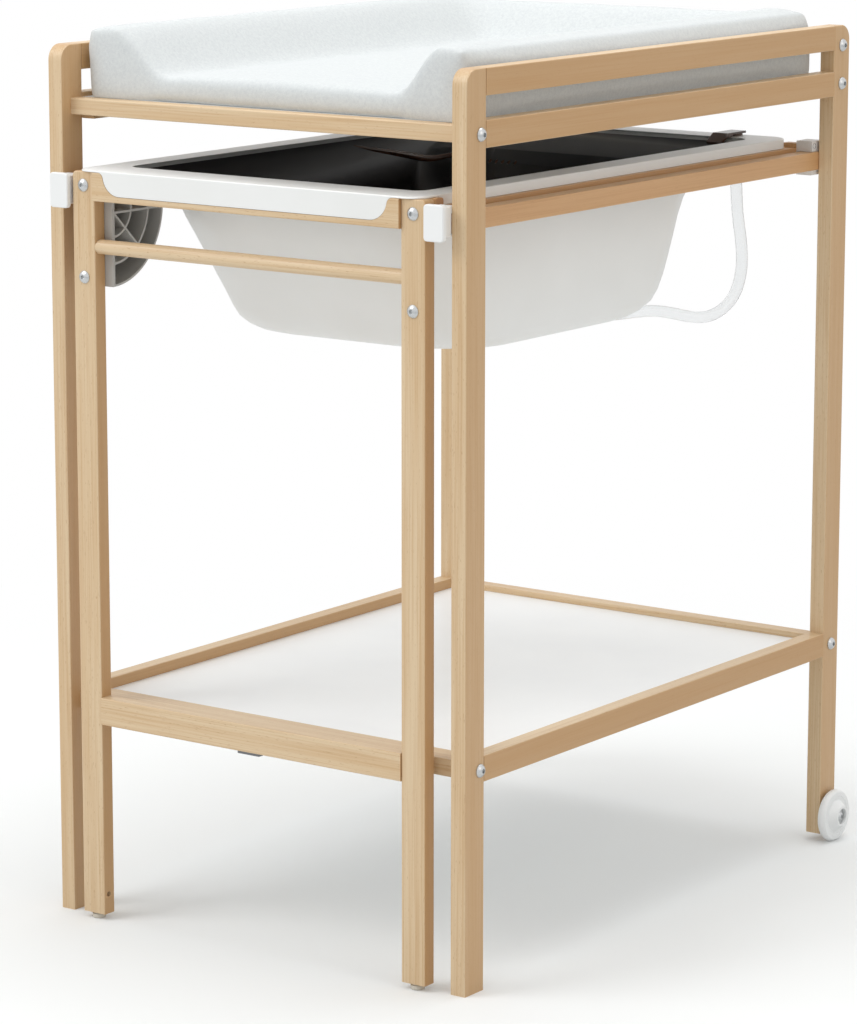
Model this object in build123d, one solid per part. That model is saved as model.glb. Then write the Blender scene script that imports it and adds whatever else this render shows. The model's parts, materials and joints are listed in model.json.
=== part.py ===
from build123d import *
import math
import os

# Changing table with a pull-out baby bath, in millimetres.
# +Z is up, -Y is the front, where the bath pulls out, and +X is right as seen from the front.
# The origin is on the floor, below the middle of the whole table.

# Outer frame
FRAME_WIDTH = 556.0
FRAME_DEPTH = 766.0
SIDE_TOP = 970.0
POST_THICK = 19.0
POST_DEEP = 34.0
POST_TOP_ROUND = 17.0
REAR_POST_LIFT = 10.0
EDGE_EASE = 1.5

# Side rails, each between a front and a rear post
SIDE_RAIL_TALL = 28.5
LOWER_RAIL_DROP = 53.0
SHELF_RAIL_TOP = 254.5

# Cross rails
CROSS_RAIL_TALL = 18.0
CROSS_RAIL_DEEP = 19.0
MAT_RAIL_DROP = 5.0
UPPER_REAR_RAIL_DROP = 14.0
SHELF_CROSS_TALL = 19.0
SHELF_CROSS_DROP = 5.2
SHELF_FRONT_DEEP = 34.0
SHELF_BOLT_FROM_POST_BACK = 8.0

# Panels and their bearers
LEDGE_WIDE = 16.0
MAT_PANEL_THICK = 5.0
SHELF_PANEL_THICK = 8.0
SHELF_PANEL_DROP = 7.3
GROOVE_DEEP = 5.0
PANEL_CLEARANCE = 0.2

# Frame bolts, their cross nuts and the dowels of the glued side frames
BOLT_SHANK_R = 3.0
BOLT_HOLE_CLEARANCE = 0.2
BOLT_LONG = 46.0
BOLT_HEAD_R = 7.25
BOLT_HEAD_TALL = 4.6
HEX_R = 2.6
HEX_DEEP_SHARE = 0.55
NUT_R = 5.0
NUT_LONG = 8.0
NUT_FROM_RAIL_END = 20.0
DOWEL_R = 3.5
DOWEL_FROM_OUTSIDE = 8.0
DOWEL_BOLT_WALL = 0.8
DOWEL_LONG = 36.0
DOWEL_CLEARANCE = 0.1

# Guide rails, their caps and screws
GUIDE_WIDE = 20.5
GUIDE_TALL = 21.0
GUIDE_FRONT_GAP = 0.3
GUIDE_REAR_SHORT = 6.0
CAP_PROUD = 19.0
CAP_PLATE_THICK = 6.0
CAP_PLATE_OVER_GUIDE = 1.5
CAP_PLATE_OVER_POST = 3.0
CAP_PLATE_BELOW = 7.0
CAP_PLATE_ABOVE = 10.0
CAP_NECK_BELOW = 3.0
CAP_NECK_ABOVE = 7.5
CAP_SOCKET_DEEP = 8.0
CAP_SOCKET_CLEARANCE = 0.2
CAP_CORNER_R = 4.0
CAP_EDGE_R = 1.5
WOOD_SCREW_R = 2.0
WOOD_SCREW_HEAD_R = 4.2
WOOD_SCREW_HEAD_DEEP = 3.0
WOOD_SCREW_CLEARANCE = 0.1
GUIDE_SCREW_BITE = 14.0

# Wheels at the rear posts
WHEEL_R = 31.0
AXLE_FROM_REAR = 16.7
AXLE_R = 4.0
WHEEL_RUN_CLEARANCE = 0.05
WHEEL_GAP = 1.2
WHEEL_RIM_WIDE = 10.0
WHEEL_RIM_FROM_BACK = 2.5
WHEEL_HUB_R = 12.0
WHEEL_HUB_PROUD = 7.3
WHEEL_WEB_INSET = 1.2
WHEEL_RIM_BAND = 7.0
HUB_RECESS_R = 9.5
HUB_RECESS_DEEP = 5.0
WASHER_R = 8.6
WASHER_THICK = 1.4
AXLE_HEAD_R = 5.6
AXLE_HEAD_TALL = 2.6
AXLE_NUT_R = 7.5
AXLE_NUT_TALL = 5.0

# Bath drawer
DRAWER_SIDE_GAP = 3.6
DRAWER_PROUD = 12.3
LEG_WIDE = 30.4
LEG_DEEP = 17.2
LEG_LIFT = 7.0
LEG_CORNER_R = 5.0
LEG_HOLE_R = 3.0
LEG_HOLE_DEEP = 12.0
LEG_HOLE_HEIGHT = 29.2
LEG_HOLE_FROM_FRONT = 7.5
GLIDE_R = 7.5
GLIDE_PAD_TALL = 5.0
GLIDE_EDGE_R = 1.5
DRAWER_RAIL_THICK = 18.0
DRAWER_RAIL_TALL = 25.0
DRAWER_REAR_ROOM = 21.0
FRONT_HORN_LONG = 15.0
FRONT_HORN_ROUND = 3.5
REAR_HORN_RISE = 5.0
REAR_HORN_LONG = 22.5
REAR_HORN_ROUND = 10.0
REAR_RAIL_DEEP = 21.0
APRON_LIFT = 2.8
APRON_BRIDGE = 6.5
APRON_PROUD = 4.0
SHOULDER_R = 7.0
SHOULDER_FROM_LEG = 8.2
SHOULDER_TURN_DEG = 80
TOWEL_ROD_R = 8.0
TOWEL_ROD_BACK = 8.3
TOWEL_ROD_DROP = 81.5
TOWEL_ROD_TENON = 10.0
TENON_CLEARANCE = 0.1
STRETCHER_TALL = 30.5
STRETCHER_OVER_SHELF_RAIL = 1.0
STRETCHER_PROUD = 1.6
LEG_SCREW_DROPS = (15.0, 115.0)
LEG_SCREW_R = 7.0
LEG_SCREW_TALL = 3.4
LEG_SCREW_SHANK_R = 2.2
LEG_SCREW_LONG = 42.0
LEG_SCREW_SHORT = 13.0
CATCH_WIDE = 30.0
CATCH_THICK = 3.0
CATCH_MARGIN = 2.5

# Sliders at the drawer's rear ends, which ride on the guide rails
SLIDER_LONG = 22.5
SLIDER_BELOW = 6.0
SLIDER_ABOVE = 12.5
SLIDER_RUN_GAP = 0.3
SLIDER_FROM_POST = 3.0
SLIDER_EDGE_R = 1.2

# Ribbed quarter-round bracket behind the left leg
BRACKET_R = 86.0
BRACKET_WALL = 2.4
BRACKET_BACK = 2.5
BRACKET_DEEP = 38.0
BRACKET_FROM_LEG_SIDE = 2.9
BRACKET_CENTRE_BELOW_RAIL = 6.0
BRACKET_HUB_DROP = 5.5
BRACKET_INNER_R = 33.0
BRACKET_MIDDLE_R = 62.0
BRACKET_POST_OFF = 2.6

# Bath
RIM_BELOW_MAT_RAIL = 72.7
RIM_PLATE = 2.0
RIM_FROM_RAIL_SIDE = 5.9
RIM_BEHIND_APRON = 0.3
RIM_HORN_GAP = 0.5
RIM_CORNER_FRONT = 20.0
RIM_CORNER_REAR = 25.0
RIM_EDGE_R = 1.6
SKIRT_THICK = 2.5
SKIRT_TALL = 11.0
SEAT_CLEARANCE = 0.3
FASCIA_THICK = 3.0
FASCIA_CLEARANCE = 0.4
BATH_WALL = 2.5
LINER_WALL = 1.0
LINER_GAP = 0.3
BATH_DEEP = 189.3
BATH_FROM_RIM_FRONT = 46.5
BATH_FROM_RIM_REAR = 36.5
BATH_FROM_RAIL = 17.4
BATH_FRONT_SLOPE = 150.0
BATH_REAR_SLOPE = 160.0
BATH_SIDE_SLOPE = 53.0
BATH_CORNER_R = 80.0
# Outside of the bath from the floor up: how far each of these has come from the floor to the
# top, height, front, rear and side, and the corner as a share of the largest one
BATH_SECTION_SHARES = (
    (0.0, 0.0, 0.0, 0.0, 1.0),
    (0.021, 0.127, 0.125, 0.245, 1.0),
    (0.095, 0.253, 0.287, 0.434, 0.96),
    (0.243, 0.360, 0.381, 0.547, 0.97),
    (0.486, 0.553, 0.456, 0.651, 0.96),
    (0.703, 0.727, 0.531, 0.726, 0.92),
    (0.866, 0.820, 0.694, 0.840, 0.80),
    (1.0, 1.0, 1.0, 1.0, 0.225),
)
BATH_STEPS = 2
OVERFLOW_HOLES = 7
OVERFLOW_HOLE_R = 2.2
OVERFLOW_PITCH = 9.0
OVERFLOW_DROP = 40.3
OVERFLOW_MIDDLE = -116.0

# Drain under the bath and its hose
DRAIN_X = 0.0
DRAIN_FROM_FLOOR_REAR = 35.5
DRAIN_FLANGE_R = 30.0
DRAIN_FLANGE_TALL = 2.0
DRAIN_HOLE_R = 20.3
DRAIN_STEM_R = 20.0
DRAIN_SLOT_R = 2.4
DRAIN_SLOTS = 6
DRAIN_SLOT_RING_R = 11.0
DRAIN_NUT_R = 27.0
DRAIN_NUT_TALL = 8.0
DRAIN_NUT_RIBS = 12
DRAIN_RIB_R = 2.0
DRAIN_BODY_R = 15.0
DRAIN_AXIS_DROP = 19.0
DRAIN_BODY_DROP = 36.0
SPIGOT_R = 8.6
SPIGOT_LONG = 42.0
HOSE_R = 6.8
# Route of the hose from the drain's middle under the bath: right, back and up
HOSE_ROUTE = (
    (27.0, 40.0, -21.5),
    (44.0, 65.0, -18.5),
    (63.0, 93.0, -15.0),
    (85.0, 118.0, -12.0),
    (103.0, 137.0, -10.0),
    (120.0, 152.0, -14.0),
    (134.0, 165.0, -18.5),
    (145.0, 181.0, -20.5),
    (153.0, 200.0, -16.0),
    (159.0, 219.0, -3.0),
    (161.0, 232.0, 16.0),
    (162.0, 236.5, 40.0),
    (162.0, 233.0, 67.0),
    (162.0, 224.0, 97.0),
    (162.3, 220.0, 128.0),
    (162.0, 218.5, 154.0),
    (162.0, 218.5, 176.0),
)
HOSE_ARC_SHARE = 0.45

# Clip that holds the hose's end on the rear rim
CLIP_WIDE = 20.0
CLIP_FROM_RIM_SIDE = 69.0
CLIP_THICK = 2.6
CLIP_LEAF = 15.0
CLIP_ARM_LIFT = 2.4
CLIP_FROM_RIM_REAR = 5.0
CLIP_BASE_LONG = 9.0
CLIP_BOSS_R = 7.4
CLIP_BOSS_OFF = 2.0
CLIP_HOLE_CLEARANCE = 0.3
CLIP_LEAF_GAP = 3.0

# Changing mat
MAT_SIDE_ROOM = 9.0
MAT_REAR_ROOM = 11.5
MAT_OVER_RAIL = 3.5
MAT_GAP = 0.3
MAT_BED_TALL = 25.0
MAT_BED_CROWN = 3.0
MAT_SIDE_TALL = 76.0
MAT_REAR_TALL = 70.0
MAT_BOLSTER_WIDE = 52.0
MAT_SLOPE_WIDE = 36.0
MAT_END_DRAW = 9.0
MAT_END_ROUND_LONG = 22.0
MAT_SIDE_BULGE = 5.0

# Places across and along the table, worked out from the sizes above
OVERRUN = 10.0
HALF = FRAME_WIDTH / 2
INNER = HALF - POST_THICK
WHEEL_BACK = HALF + WHEEL_GAP
WHEEL_REAR_PROUD = WHEEL_R - AXLE_FROM_REAR
FRONT = CAP_PROUD - (CAP_PROUD + FRAME_DEPTH + WHEEL_REAR_PROUD) / 2
REAR = FRONT + FRAME_DEPTH
FRONT_RAIL_Y = (FRONT + POST_DEEP - CROSS_RAIL_DEEP, FRONT + POST_DEEP)
REAR_BOLT_Y = REAR - POST_DEEP / 2
REAR_RAIL_Y = (REAR_BOLT_Y - CROSS_RAIL_DEEP / 2, REAR_BOLT_Y + CROSS_RAIL_DEEP / 2)
SHELF_FRONT_Y = (FRONT_RAIL_Y[0], FRONT_RAIL_Y[0] + SHELF_FRONT_DEEP)
SHELF_BOLT_Y = FRONT + POST_DEEP - SHELF_BOLT_FROM_POST_BACK
GUIDE_INNER = INNER - GUIDE_WIDE
LEG_OUTER = GUIDE_INNER - DRAWER_SIDE_GAP
LEG_INNER = LEG_OUTER - LEG_WIDE
LEG_SCREW_X = LEG_INNER + LEG_WIDE / 2
LEG_Y = (FRONT - DRAWER_PROUD, FRONT - DRAWER_PROUD + LEG_DEEP)
APRON_Y = (LEG_Y[0] - APRON_PROUD, LEG_Y[1] - APRON_PROUD)
STRETCHER_Y = (LEG_Y[0] - STRETCHER_PROUD, LEG_Y[1] - STRETCHER_PROUD)
DRAWER_RAIL_INNER = LEG_OUTER - DRAWER_RAIL_THICK
DRAWER_REAR = REAR - DRAWER_REAR_ROOM
RIM_HALF = LEG_OUTER - RIM_FROM_RAIL_SIDE
RIM_FRONT = APRON_Y[0] + RIM_BEHIND_APRON
RIM_REAR = DRAWER_REAR - REAR_HORN_LONG - RIM_HORN_GAP
BATH_TOP_FRONT = RIM_FRONT + BATH_FROM_RIM_FRONT
BATH_TOP_REAR = RIM_REAR - BATH_FROM_RIM_REAR
BATH_TOP_HALF = DRAWER_RAIL_INNER - BATH_FROM_RAIL
BATH_FLOOR_REAR = BATH_TOP_REAR - BATH_REAR_SLOPE
DRAIN_Y = BATH_FLOOR_REAR - DRAIN_FROM_FLOOR_REAR
CLIP_REAR = RIM_REAR - CLIP_FROM_RIM_REAR
CLIP_MIDDLE = RIM_HALF - CLIP_FROM_RIM_SIDE
MAT_HALF_WIDE = INNER - MAT_SIDE_ROOM
MAT_FRONT = FRONT_RAIL_Y[1] - MAT_OVER_RAIL
MAT_REAR = REAR_RAIL_Y[0] - MAT_REAR_ROOM

# Heights, worked out from the sizes above
LOWER_RAIL_TOP = SIDE_TOP - LOWER_RAIL_DROP
MAT_RAIL_TOP = LOWER_RAIL_TOP - MAT_RAIL_DROP
UPPER_REAR_RAIL_TOP = SIDE_TOP - UPPER_REAR_RAIL_DROP
SHELF_CROSS_TOP = SHELF_RAIL_TOP - SHELF_CROSS_DROP
SHELF_PANEL_TOP = SHELF_CROSS_TOP - SHELF_PANEL_DROP
MAT_RAIL_Z = (MAT_RAIL_TOP - CROSS_RAIL_TALL, MAT_RAIL_TOP)
UPPER_REAR_Z = (UPPER_REAR_RAIL_TOP - CROSS_RAIL_TALL, UPPER_REAR_RAIL_TOP)
SHELF_CROSS_Z = (SHELF_CROSS_TOP - SHELF_CROSS_TALL, SHELF_CROSS_TOP)
RIM_TOP = MAT_RAIL_TOP - RIM_BELOW_MAT_RAIL
RIM_UNDER = RIM_TOP - RIM_PLATE
SKIRT_LOW = RIM_TOP - SKIRT_TALL
BATH_BOTTOM = RIM_UNDER - BATH_DEEP
BATH_FLOOR_TOP = BATH_BOTTOM + BATH_WALL + LINER_GAP + LINER_WALL
LEG_TOP = RIM_UNDER - SEAT_CLEARANCE
DRAWER_RAIL_TOP = SKIRT_LOW - SEAT_CLEARANCE
DRAWER_RAIL_LOW = DRAWER_RAIL_TOP - DRAWER_RAIL_TALL
REAR_HORN_TOP = DRAWER_RAIL_TOP + REAR_HORN_RISE
GUIDE_LOW = DRAWER_RAIL_LOW
GUIDE_TOP = GUIDE_LOW + GUIDE_TALL
GUIDE_MIDDLE_Z = (GUIDE_LOW + GUIDE_TOP) / 2
APRON_LOW = DRAWER_RAIL_LOW + APRON_LIFT
BRIDGE_TOP = APRON_LOW + APRON_BRIDGE
TOWEL_ROD_HEIGHT = LEG_TOP - TOWEL_ROD_DROP
STRETCHER_TOP = SHELF_RAIL_TOP + STRETCHER_OVER_SHELF_RAIL
STRETCHER_LOW = STRETCHER_TOP - STRETCHER_TALL
OVERFLOW_HEIGHT = RIM_TOP - OVERFLOW_DROP

# Bolts across the frame and the dowels above or below them in each side rail
BOLT_PLACES = (
    ((FRONT_RAIL_Y[0] + FRONT_RAIL_Y[1]) / 2, sum(MAT_RAIL_Z) / 2),
    (SHELF_BOLT_Y, sum(SHELF_CROSS_Z) / 2),
    (REAR_BOLT_Y, sum(UPPER_REAR_Z) / 2),
    (REAR_BOLT_Y, sum(MAT_RAIL_Z) / 2),
    (REAR_BOLT_Y, sum(SHELF_CROSS_Z) / 2),
)
DOWEL_FROM_BOLT = BOLT_SHANK_R + BOLT_HOLE_CLEARANCE + DOWEL_R + DOWEL_CLEARANCE + DOWEL_BOLT_WALL
DOWEL_HEIGHTS = (
    sum(UPPER_REAR_Z) / 2 + DOWEL_FROM_BOLT,
    sum(MAT_RAIL_Z) / 2 - DOWEL_FROM_BOLT,
    sum(SHELF_CROSS_Z) / 2 - DOWEL_FROM_BOLT,
)

# Sections of the bath's outside: height, front, rear, half width and corner radius
BATH_SECTIONS = tuple(
    (
        BATH_BOTTOM + tall * BATH_DEEP,
        BATH_TOP_FRONT + (1 - front) * BATH_FRONT_SLOPE,
        BATH_TOP_REAR - (1 - rear) * BATH_REAR_SLOPE,
        BATH_TOP_HALF - (1 - side) * BATH_SIDE_SLOPE,
        corner * BATH_CORNER_R,
    )
    for tall, front, rear, side, corner in BATH_SECTION_SHARES
)


def block(x_span, y_span, z_span):
    """Box between a low and a high plane on each axis."""
    sizes = [high - low for low, high in (x_span, y_span, z_span)]
    middle = Vector(sum(x_span) / 2, sum(y_span) / 2, sum(z_span) / 2)
    return Pos(middle) * Box(*sizes)


def rod(start, direction, radius, length):
    """Solid cylinder from a start point along a direction."""
    return extrude(Plane(start, z_dir=direction) * Circle(radius), length)


def eased(solid, axis, radius=EDGE_EASE):
    """Solid with its straight edges along an axis eased."""
    return fillet(solid.edges().filter_by(axis), radius)


def both_sides(right):
    """A right-hand piece and its left-hand twin."""
    return {"right": right, "left": mirror(right, about=Plane.YZ)}


def group(pieces):
    """Separate solids that share one node."""
    return Compound(children=list(pieces))


# Fasteners

def domed_screw(head_r, head_tall, shank_r, shank_long):
    """Screw along -Z from the plane under its domed head, with a hexagon socket."""
    edge = head_tall / 4
    profile = make_face(
        Polyline((0, 0), (head_r, 0), (head_r, edge))
        + ThreePointArc(
            (head_r, edge),
            (head_r * math.cos(math.pi / 4), edge + (head_tall - edge) * math.sin(math.pi / 4)),
            (0, head_tall),
        )
        + Line((0, head_tall), (0, 0))
    )
    head = revolve(Plane.XZ * profile, Axis.Z)
    socket_floor = head_tall * (1 - HEX_DEEP_SHARE)
    socket_sketch = Pos(0, 0, socket_floor) * RegularPolygon(HEX_R, 6)
    head -= extrude(socket_sketch, head_tall)
    return head + rod((0, 0, 0), (0, 0, -1), shank_r, shank_long)


def frame_bolts():
    """Domed bolts on the outer faces of the posts."""
    bolt = domed_screw(BOLT_HEAD_R, BOLT_HEAD_TALL, BOLT_SHANK_R, BOLT_LONG)
    placed = []
    for y, z in BOLT_PLACES:
        for side in (1, -1):
            placed.append(Plane((side * HALF, y, z), z_dir=(side, 0, 0)) * bolt)
    return group(placed)


def bolt_bores(radius):
    """Round cutters on the axes of the frame bolts."""
    long = BOLT_LONG + OVERRUN
    bores = []
    for y, z in BOLT_PLACES:
        for side in (1, -1):
            start = (side * (HALF + OVERRUN / 2), y, z)
            bores.append(rod(start, (-side, 0, 0), radius, long))
    return bores


def nut_seats(clearance):
    """Cross nuts in the rails' ends, or the holes for them."""
    seats = []
    for y, z in BOLT_PLACES:
        for side in (1, -1):
            x = side * (INNER - NUT_FROM_RAIL_END)
            seats.append(rod((x, y - NUT_LONG / 2, z), (0, 1, 0), NUT_R + clearance, NUT_LONG))
    return seats


def barrel_nuts():
    """Cross nuts that the frame bolts screw into."""
    bores = bolt_bores(BOLT_SHANK_R + BOLT_HOLE_CLEARANCE)
    return group([nut - bore for nut, bore in zip(nut_seats(0), bores)])


def dowel_places():
    """Start points of the right-hand side frame's dowels, which run along +Y."""
    x = HALF - DOWEL_FROM_OUTSIDE
    joints = (FRONT + POST_DEEP, REAR - POST_DEEP)
    return [(x, y - DOWEL_LONG / 2, z) for z in DOWEL_HEIGHTS for y in joints]


def side_dowels(clearance=0.0):
    """Dowels of the right-hand side frame, or the holes for them."""
    start = [(x, y - clearance, z) for x, y, z in dowel_places()]
    length = DOWEL_LONG + 2 * clearance
    return [rod(point, (0, 1, 0), DOWEL_R + clearance, length) for point in start]


def side_frame_dowels():
    """Dowels of both glued side frames."""
    dowels = []
    for dowel in side_dowels():
        dowels += both_sides(dowel).values()
    return group(dowels)


def countersunk_screw(length):
    """Wood screw along -Z, its flat head flush with the plane."""
    profile = make_face(
        Polyline(
            (0, 0),
            (WOOD_SCREW_HEAD_R, 0),
            (WOOD_SCREW_R, -WOOD_SCREW_HEAD_DEEP),
            (WOOD_SCREW_R, -length),
            (0, -length),
            close=True,
        )
    )
    return revolve(Plane.XZ * profile, Axis.Z)


def screw_cutter(length):
    """Hole for a countersunk wood screw."""
    clearance = WOOD_SCREW_CLEARANCE
    profile = make_face(
        Polyline(
            (0, clearance),
            (WOOD_SCREW_HEAD_R + clearance, clearance),
            (WOOD_SCREW_HEAD_R + clearance, 0),
            (WOOD_SCREW_R + clearance, -WOOD_SCREW_HEAD_DEEP),
            (WOOD_SCREW_R + clearance, -length - clearance),
            (0, -length - clearance),
            close=True,
        )
    )
    return revolve(Plane.XZ * profile, Axis.Z)


def guide_screw_planes():
    """Planes of the right guide rail's screws, their normals pointing at the bath."""
    places = (FRONT + POST_DEEP / 2, REAR_BOLT_Y)
    return [Plane((GUIDE_INNER, y, GUIDE_MIDDLE_Z), z_dir=(-1, 0, 0)) for y in places]


def guide_screws():
    """Screws that hold the guide rails to the posts."""
    screw = countersunk_screw(GUIDE_WIDE + GUIDE_SCREW_BITE)
    screws = []
    for plane in guide_screw_planes():
        screws += both_sides(plane * screw).values()
    return group(screws)


def guide_screw_holes():
    """Holes for the right guide rail's screws."""
    cutter = screw_cutter(GUIDE_WIDE + GUIDE_SCREW_BITE)
    return [plane * cutter for plane in guide_screw_planes()]


# Outer frame

def right_post(y_span, low, rounded_y):
    """Post with its outer top corner rounded and its bolt, dowel and screw holes."""
    post = block((INNER, HALF), y_span, (low, SIDE_TOP))
    top_edges = post.edges().filter_by(Axis.X).group_by(Axis.Z)[-1]
    corner = top_edges.sort_by(Axis.Y)[0 if rounded_y == y_span[0] else -1]
    post = fillet(corner, POST_TOP_ROUND)
    post = eased(post, Axis.Z)
    for cutter in bolt_bores(BOLT_SHANK_R + BOLT_HOLE_CLEARANCE) + side_dowels(DOWEL_CLEARANCE):
        post -= cutter
    for cutter in guide_screw_holes():
        post -= cutter
    return post


def front_posts():
    """Front posts, which stand on the floor."""
    return both_sides(right_post((FRONT, FRONT + POST_DEEP), 0, FRONT))


def axle_point():
    """Middle of the right wheel's axle at the post's outer face."""
    return Vector(HALF, REAR - AXLE_FROM_REAR, WHEEL_R)


def rear_posts():
    """Rear posts, which end above the floor and carry the wheels."""
    post = right_post((REAR - POST_DEEP, REAR), REAR_POST_LIFT, REAR)
    bore = rod(axle_point() + Vector(OVERRUN), (-1, 0, 0), AXLE_R + BOLT_HOLE_CLEARANCE,
               POST_THICK + 2 * OVERRUN)
    return both_sides(post - bore)


def side_rails(top):
    """Pair of side rails between the posts, with their dowel holes."""
    z_span = (top - SIDE_RAIL_TALL, top)
    rail = block((INNER, HALF), (FRONT + POST_DEEP, REAR - POST_DEEP), z_span)
    rail = eased(rail, Axis.Y)
    for cutter in side_dowels(DOWEL_CLEARANCE):
        rail -= cutter
    return both_sides(rail)


def cross_rail(y_span, z_span):
    """Cross rail between the posts, with bolt bores and the holes of the cross nuts."""
    rail = eased(block((-INNER, INNER), y_span, z_span), Axis.X)
    for cutter in bolt_bores(BOLT_SHANK_R + BOLT_HOLE_CLEARANCE):
        rail -= cutter
    for cutter in nut_seats(BOLT_HOLE_CLEARANCE):
        rail -= cutter
    return rail


def shelf_panel(clearance=0.0):
    """White shelf board whose edges lie in the rails' grooves, or the cutter for them."""
    z_span = (SHELF_PANEL_TOP - SHELF_PANEL_THICK - clearance, SHELF_PANEL_TOP + clearance)
    tongue = GROOVE_DEEP + clearance
    long_y = (SHELF_FRONT_Y[1] - tongue, REAR_RAIL_Y[0] + tongue)
    wide_y = (SHELF_FRONT_Y[1] + PANEL_CLEARANCE - clearance,
              REAR - POST_DEEP - PANEL_CLEARANCE + clearance)
    middle = block((PANEL_CLEARANCE - INNER, INNER - PANEL_CLEARANCE), long_y, z_span)
    wide = block((-INNER - tongue, INNER + tongue), wide_y, z_span)
    return middle + wide


def mat_ledges():
    """Bearers of the mat's board, on the lower side rails."""
    z_span = (LOWER_RAIL_TOP - SIDE_RAIL_TALL, MAT_RAIL_TOP - MAT_PANEL_THICK)
    y_span = (FRONT_RAIL_Y[1], REAR_RAIL_Y[0])
    return both_sides(block((INNER - LEDGE_WIDE, INNER), y_span, z_span))


def mat_base_panel():
    """Board under the mat, between the cross rails and on the bearers."""
    half = INNER - PANEL_CLEARANCE
    y_span = (FRONT_RAIL_Y[1] + PANEL_CLEARANCE, REAR_RAIL_Y[0] - PANEL_CLEARANCE)
    return block((-half, half), y_span, (MAT_RAIL_TOP - MAT_PANEL_THICK, MAT_RAIL_TOP))


# Guides of the bath drawer

def guide_rails():
    """Guide rails on the posts' inner faces."""
    y_span = (FRONT + GUIDE_FRONT_GAP, REAR - GUIDE_REAR_SHORT)
    rail = eased(block((GUIDE_INNER, INNER), y_span, (GUIDE_LOW, GUIDE_TOP)), Axis.Y)
    for cutter in guide_screw_holes():
        rail -= cutter
    return both_sides(rail)


def guide_caps():
    """White caps on the guide rails' front ends, which stop the drawer."""
    plate_x = (GUIDE_INNER - CAP_PLATE_OVER_GUIDE, INNER + CAP_PLATE_OVER_POST)
    plate_y = (FRONT - CAP_PROUD, FRONT - CAP_PROUD + CAP_PLATE_THICK)
    plate = block(plate_x, plate_y, (GUIDE_LOW - CAP_PLATE_BELOW, GUIDE_TOP + CAP_PLATE_ABOVE))
    plate = eased(plate, Axis.Y, CAP_CORNER_R)
    plate = fillet(plate.faces().sort_by(Axis.Y)[0].edges(), CAP_EDGE_R)
    neck_x = (GUIDE_INNER, INNER)
    neck_y = (plate_y[1], FRONT + CAP_SOCKET_DEEP)
    neck_z = (GUIDE_LOW - CAP_NECK_BELOW, GUIDE_TOP + CAP_NECK_ABOVE)
    neck = eased(block(neck_x, neck_y, neck_z), Axis.Y, CAP_EDGE_R)
    gap = CAP_SOCKET_CLEARANCE
    socket = block(
        (GUIDE_INNER - OVERRUN, INNER + OVERRUN),
        (FRONT, FRONT + CAP_SOCKET_DEEP + OVERRUN),
        (GUIDE_LOW - gap, GUIDE_TOP + gap),
    )
    return both_sides(plate + neck - socket)


# Wheels

def wheels():
    """White wheels with a rounded rim band, a dished web and a domed hub."""
    rim_low = WHEEL_RIM_FROM_BACK
    rim_high = rim_low + WHEEL_RIM_WIDE
    hub_top = rim_high + WHEEL_HUB_PROUD
    band = WHEEL_R - WHEEL_RIM_BAND
    crown = WHEEL_R - WHEEL_RIM_WIDE / 4
    web = rim_high - WHEEL_WEB_INSET
    bore = AXLE_R + WHEEL_RUN_CLEARANCE
    outline = (
        Polyline((bore, 0), (WHEEL_HUB_R, 0), (WHEEL_HUB_R, rim_low), (crown, rim_low))
        + ThreePointArc((crown, rim_low), (WHEEL_R, (rim_low + rim_high) / 2), (crown, rim_high))
        + Polyline(
            (crown, rim_high),
            (band, rim_high),
            (band - WHEEL_WEB_INSET, web),
            (WHEEL_HUB_R + WHEEL_HUB_PROUD, web),
            (WHEEL_HUB_R, hub_top),
            (HUB_RECESS_R, hub_top),
            (HUB_RECESS_R, hub_top - HUB_RECESS_DEEP),
            (bore, hub_top - HUB_RECESS_DEEP),
            (bore, 0),
        )
    )
    wheel = revolve(Plane.XZ * make_face(outline), Axis.Z)
    centre = axle_point() + Vector(WHEEL_GAP)
    return both_sides(Plane(centre, z_dir=(1, 0, 0)) * wheel)


def wheel_recess_x():
    """Plane of the hub recess's floor on the right wheel."""
    hub_top = WHEEL_RIM_FROM_BACK + WHEEL_RIM_WIDE + WHEEL_HUB_PROUD
    return WHEEL_BACK + hub_top - HUB_RECESS_DEEP


def wheel_washers():
    """Washers between the axle heads and the hubs."""
    start = Vector(wheel_recess_x() + SLIDER_RUN_GAP, axle_point().Y, axle_point().Z)
    ring = rod(start, (1, 0, 0), WASHER_R, WASHER_THICK)
    ring -= rod(start - Vector(OVERRUN), (1, 0, 0), AXLE_R, WASHER_THICK + 2 * OVERRUN)
    return group(both_sides(ring).values())


def wheel_axles():
    """Axle bolts through the rear posts, each with its nut inside."""
    head_x = wheel_recess_x() + SLIDER_RUN_GAP + WASHER_THICK
    shank_end = INNER - AXLE_NUT_TALL
    screw = domed_screw(AXLE_HEAD_R, AXLE_HEAD_TALL, AXLE_R, head_x - shank_end)
    start = Vector(head_x, axle_point().Y, axle_point().Z)
    axle = Plane(start, z_dir=(1, 0, 0)) * screw
    nut_plane = Plane(Vector(shank_end, axle_point().Y, axle_point().Z), z_dir=(1, 0, 0))
    axle += extrude(nut_plane * RegularPolygon(AXLE_NUT_R, 6), AXLE_NUT_TALL)
    return group(both_sides(axle).values())


# Bath drawer

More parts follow.
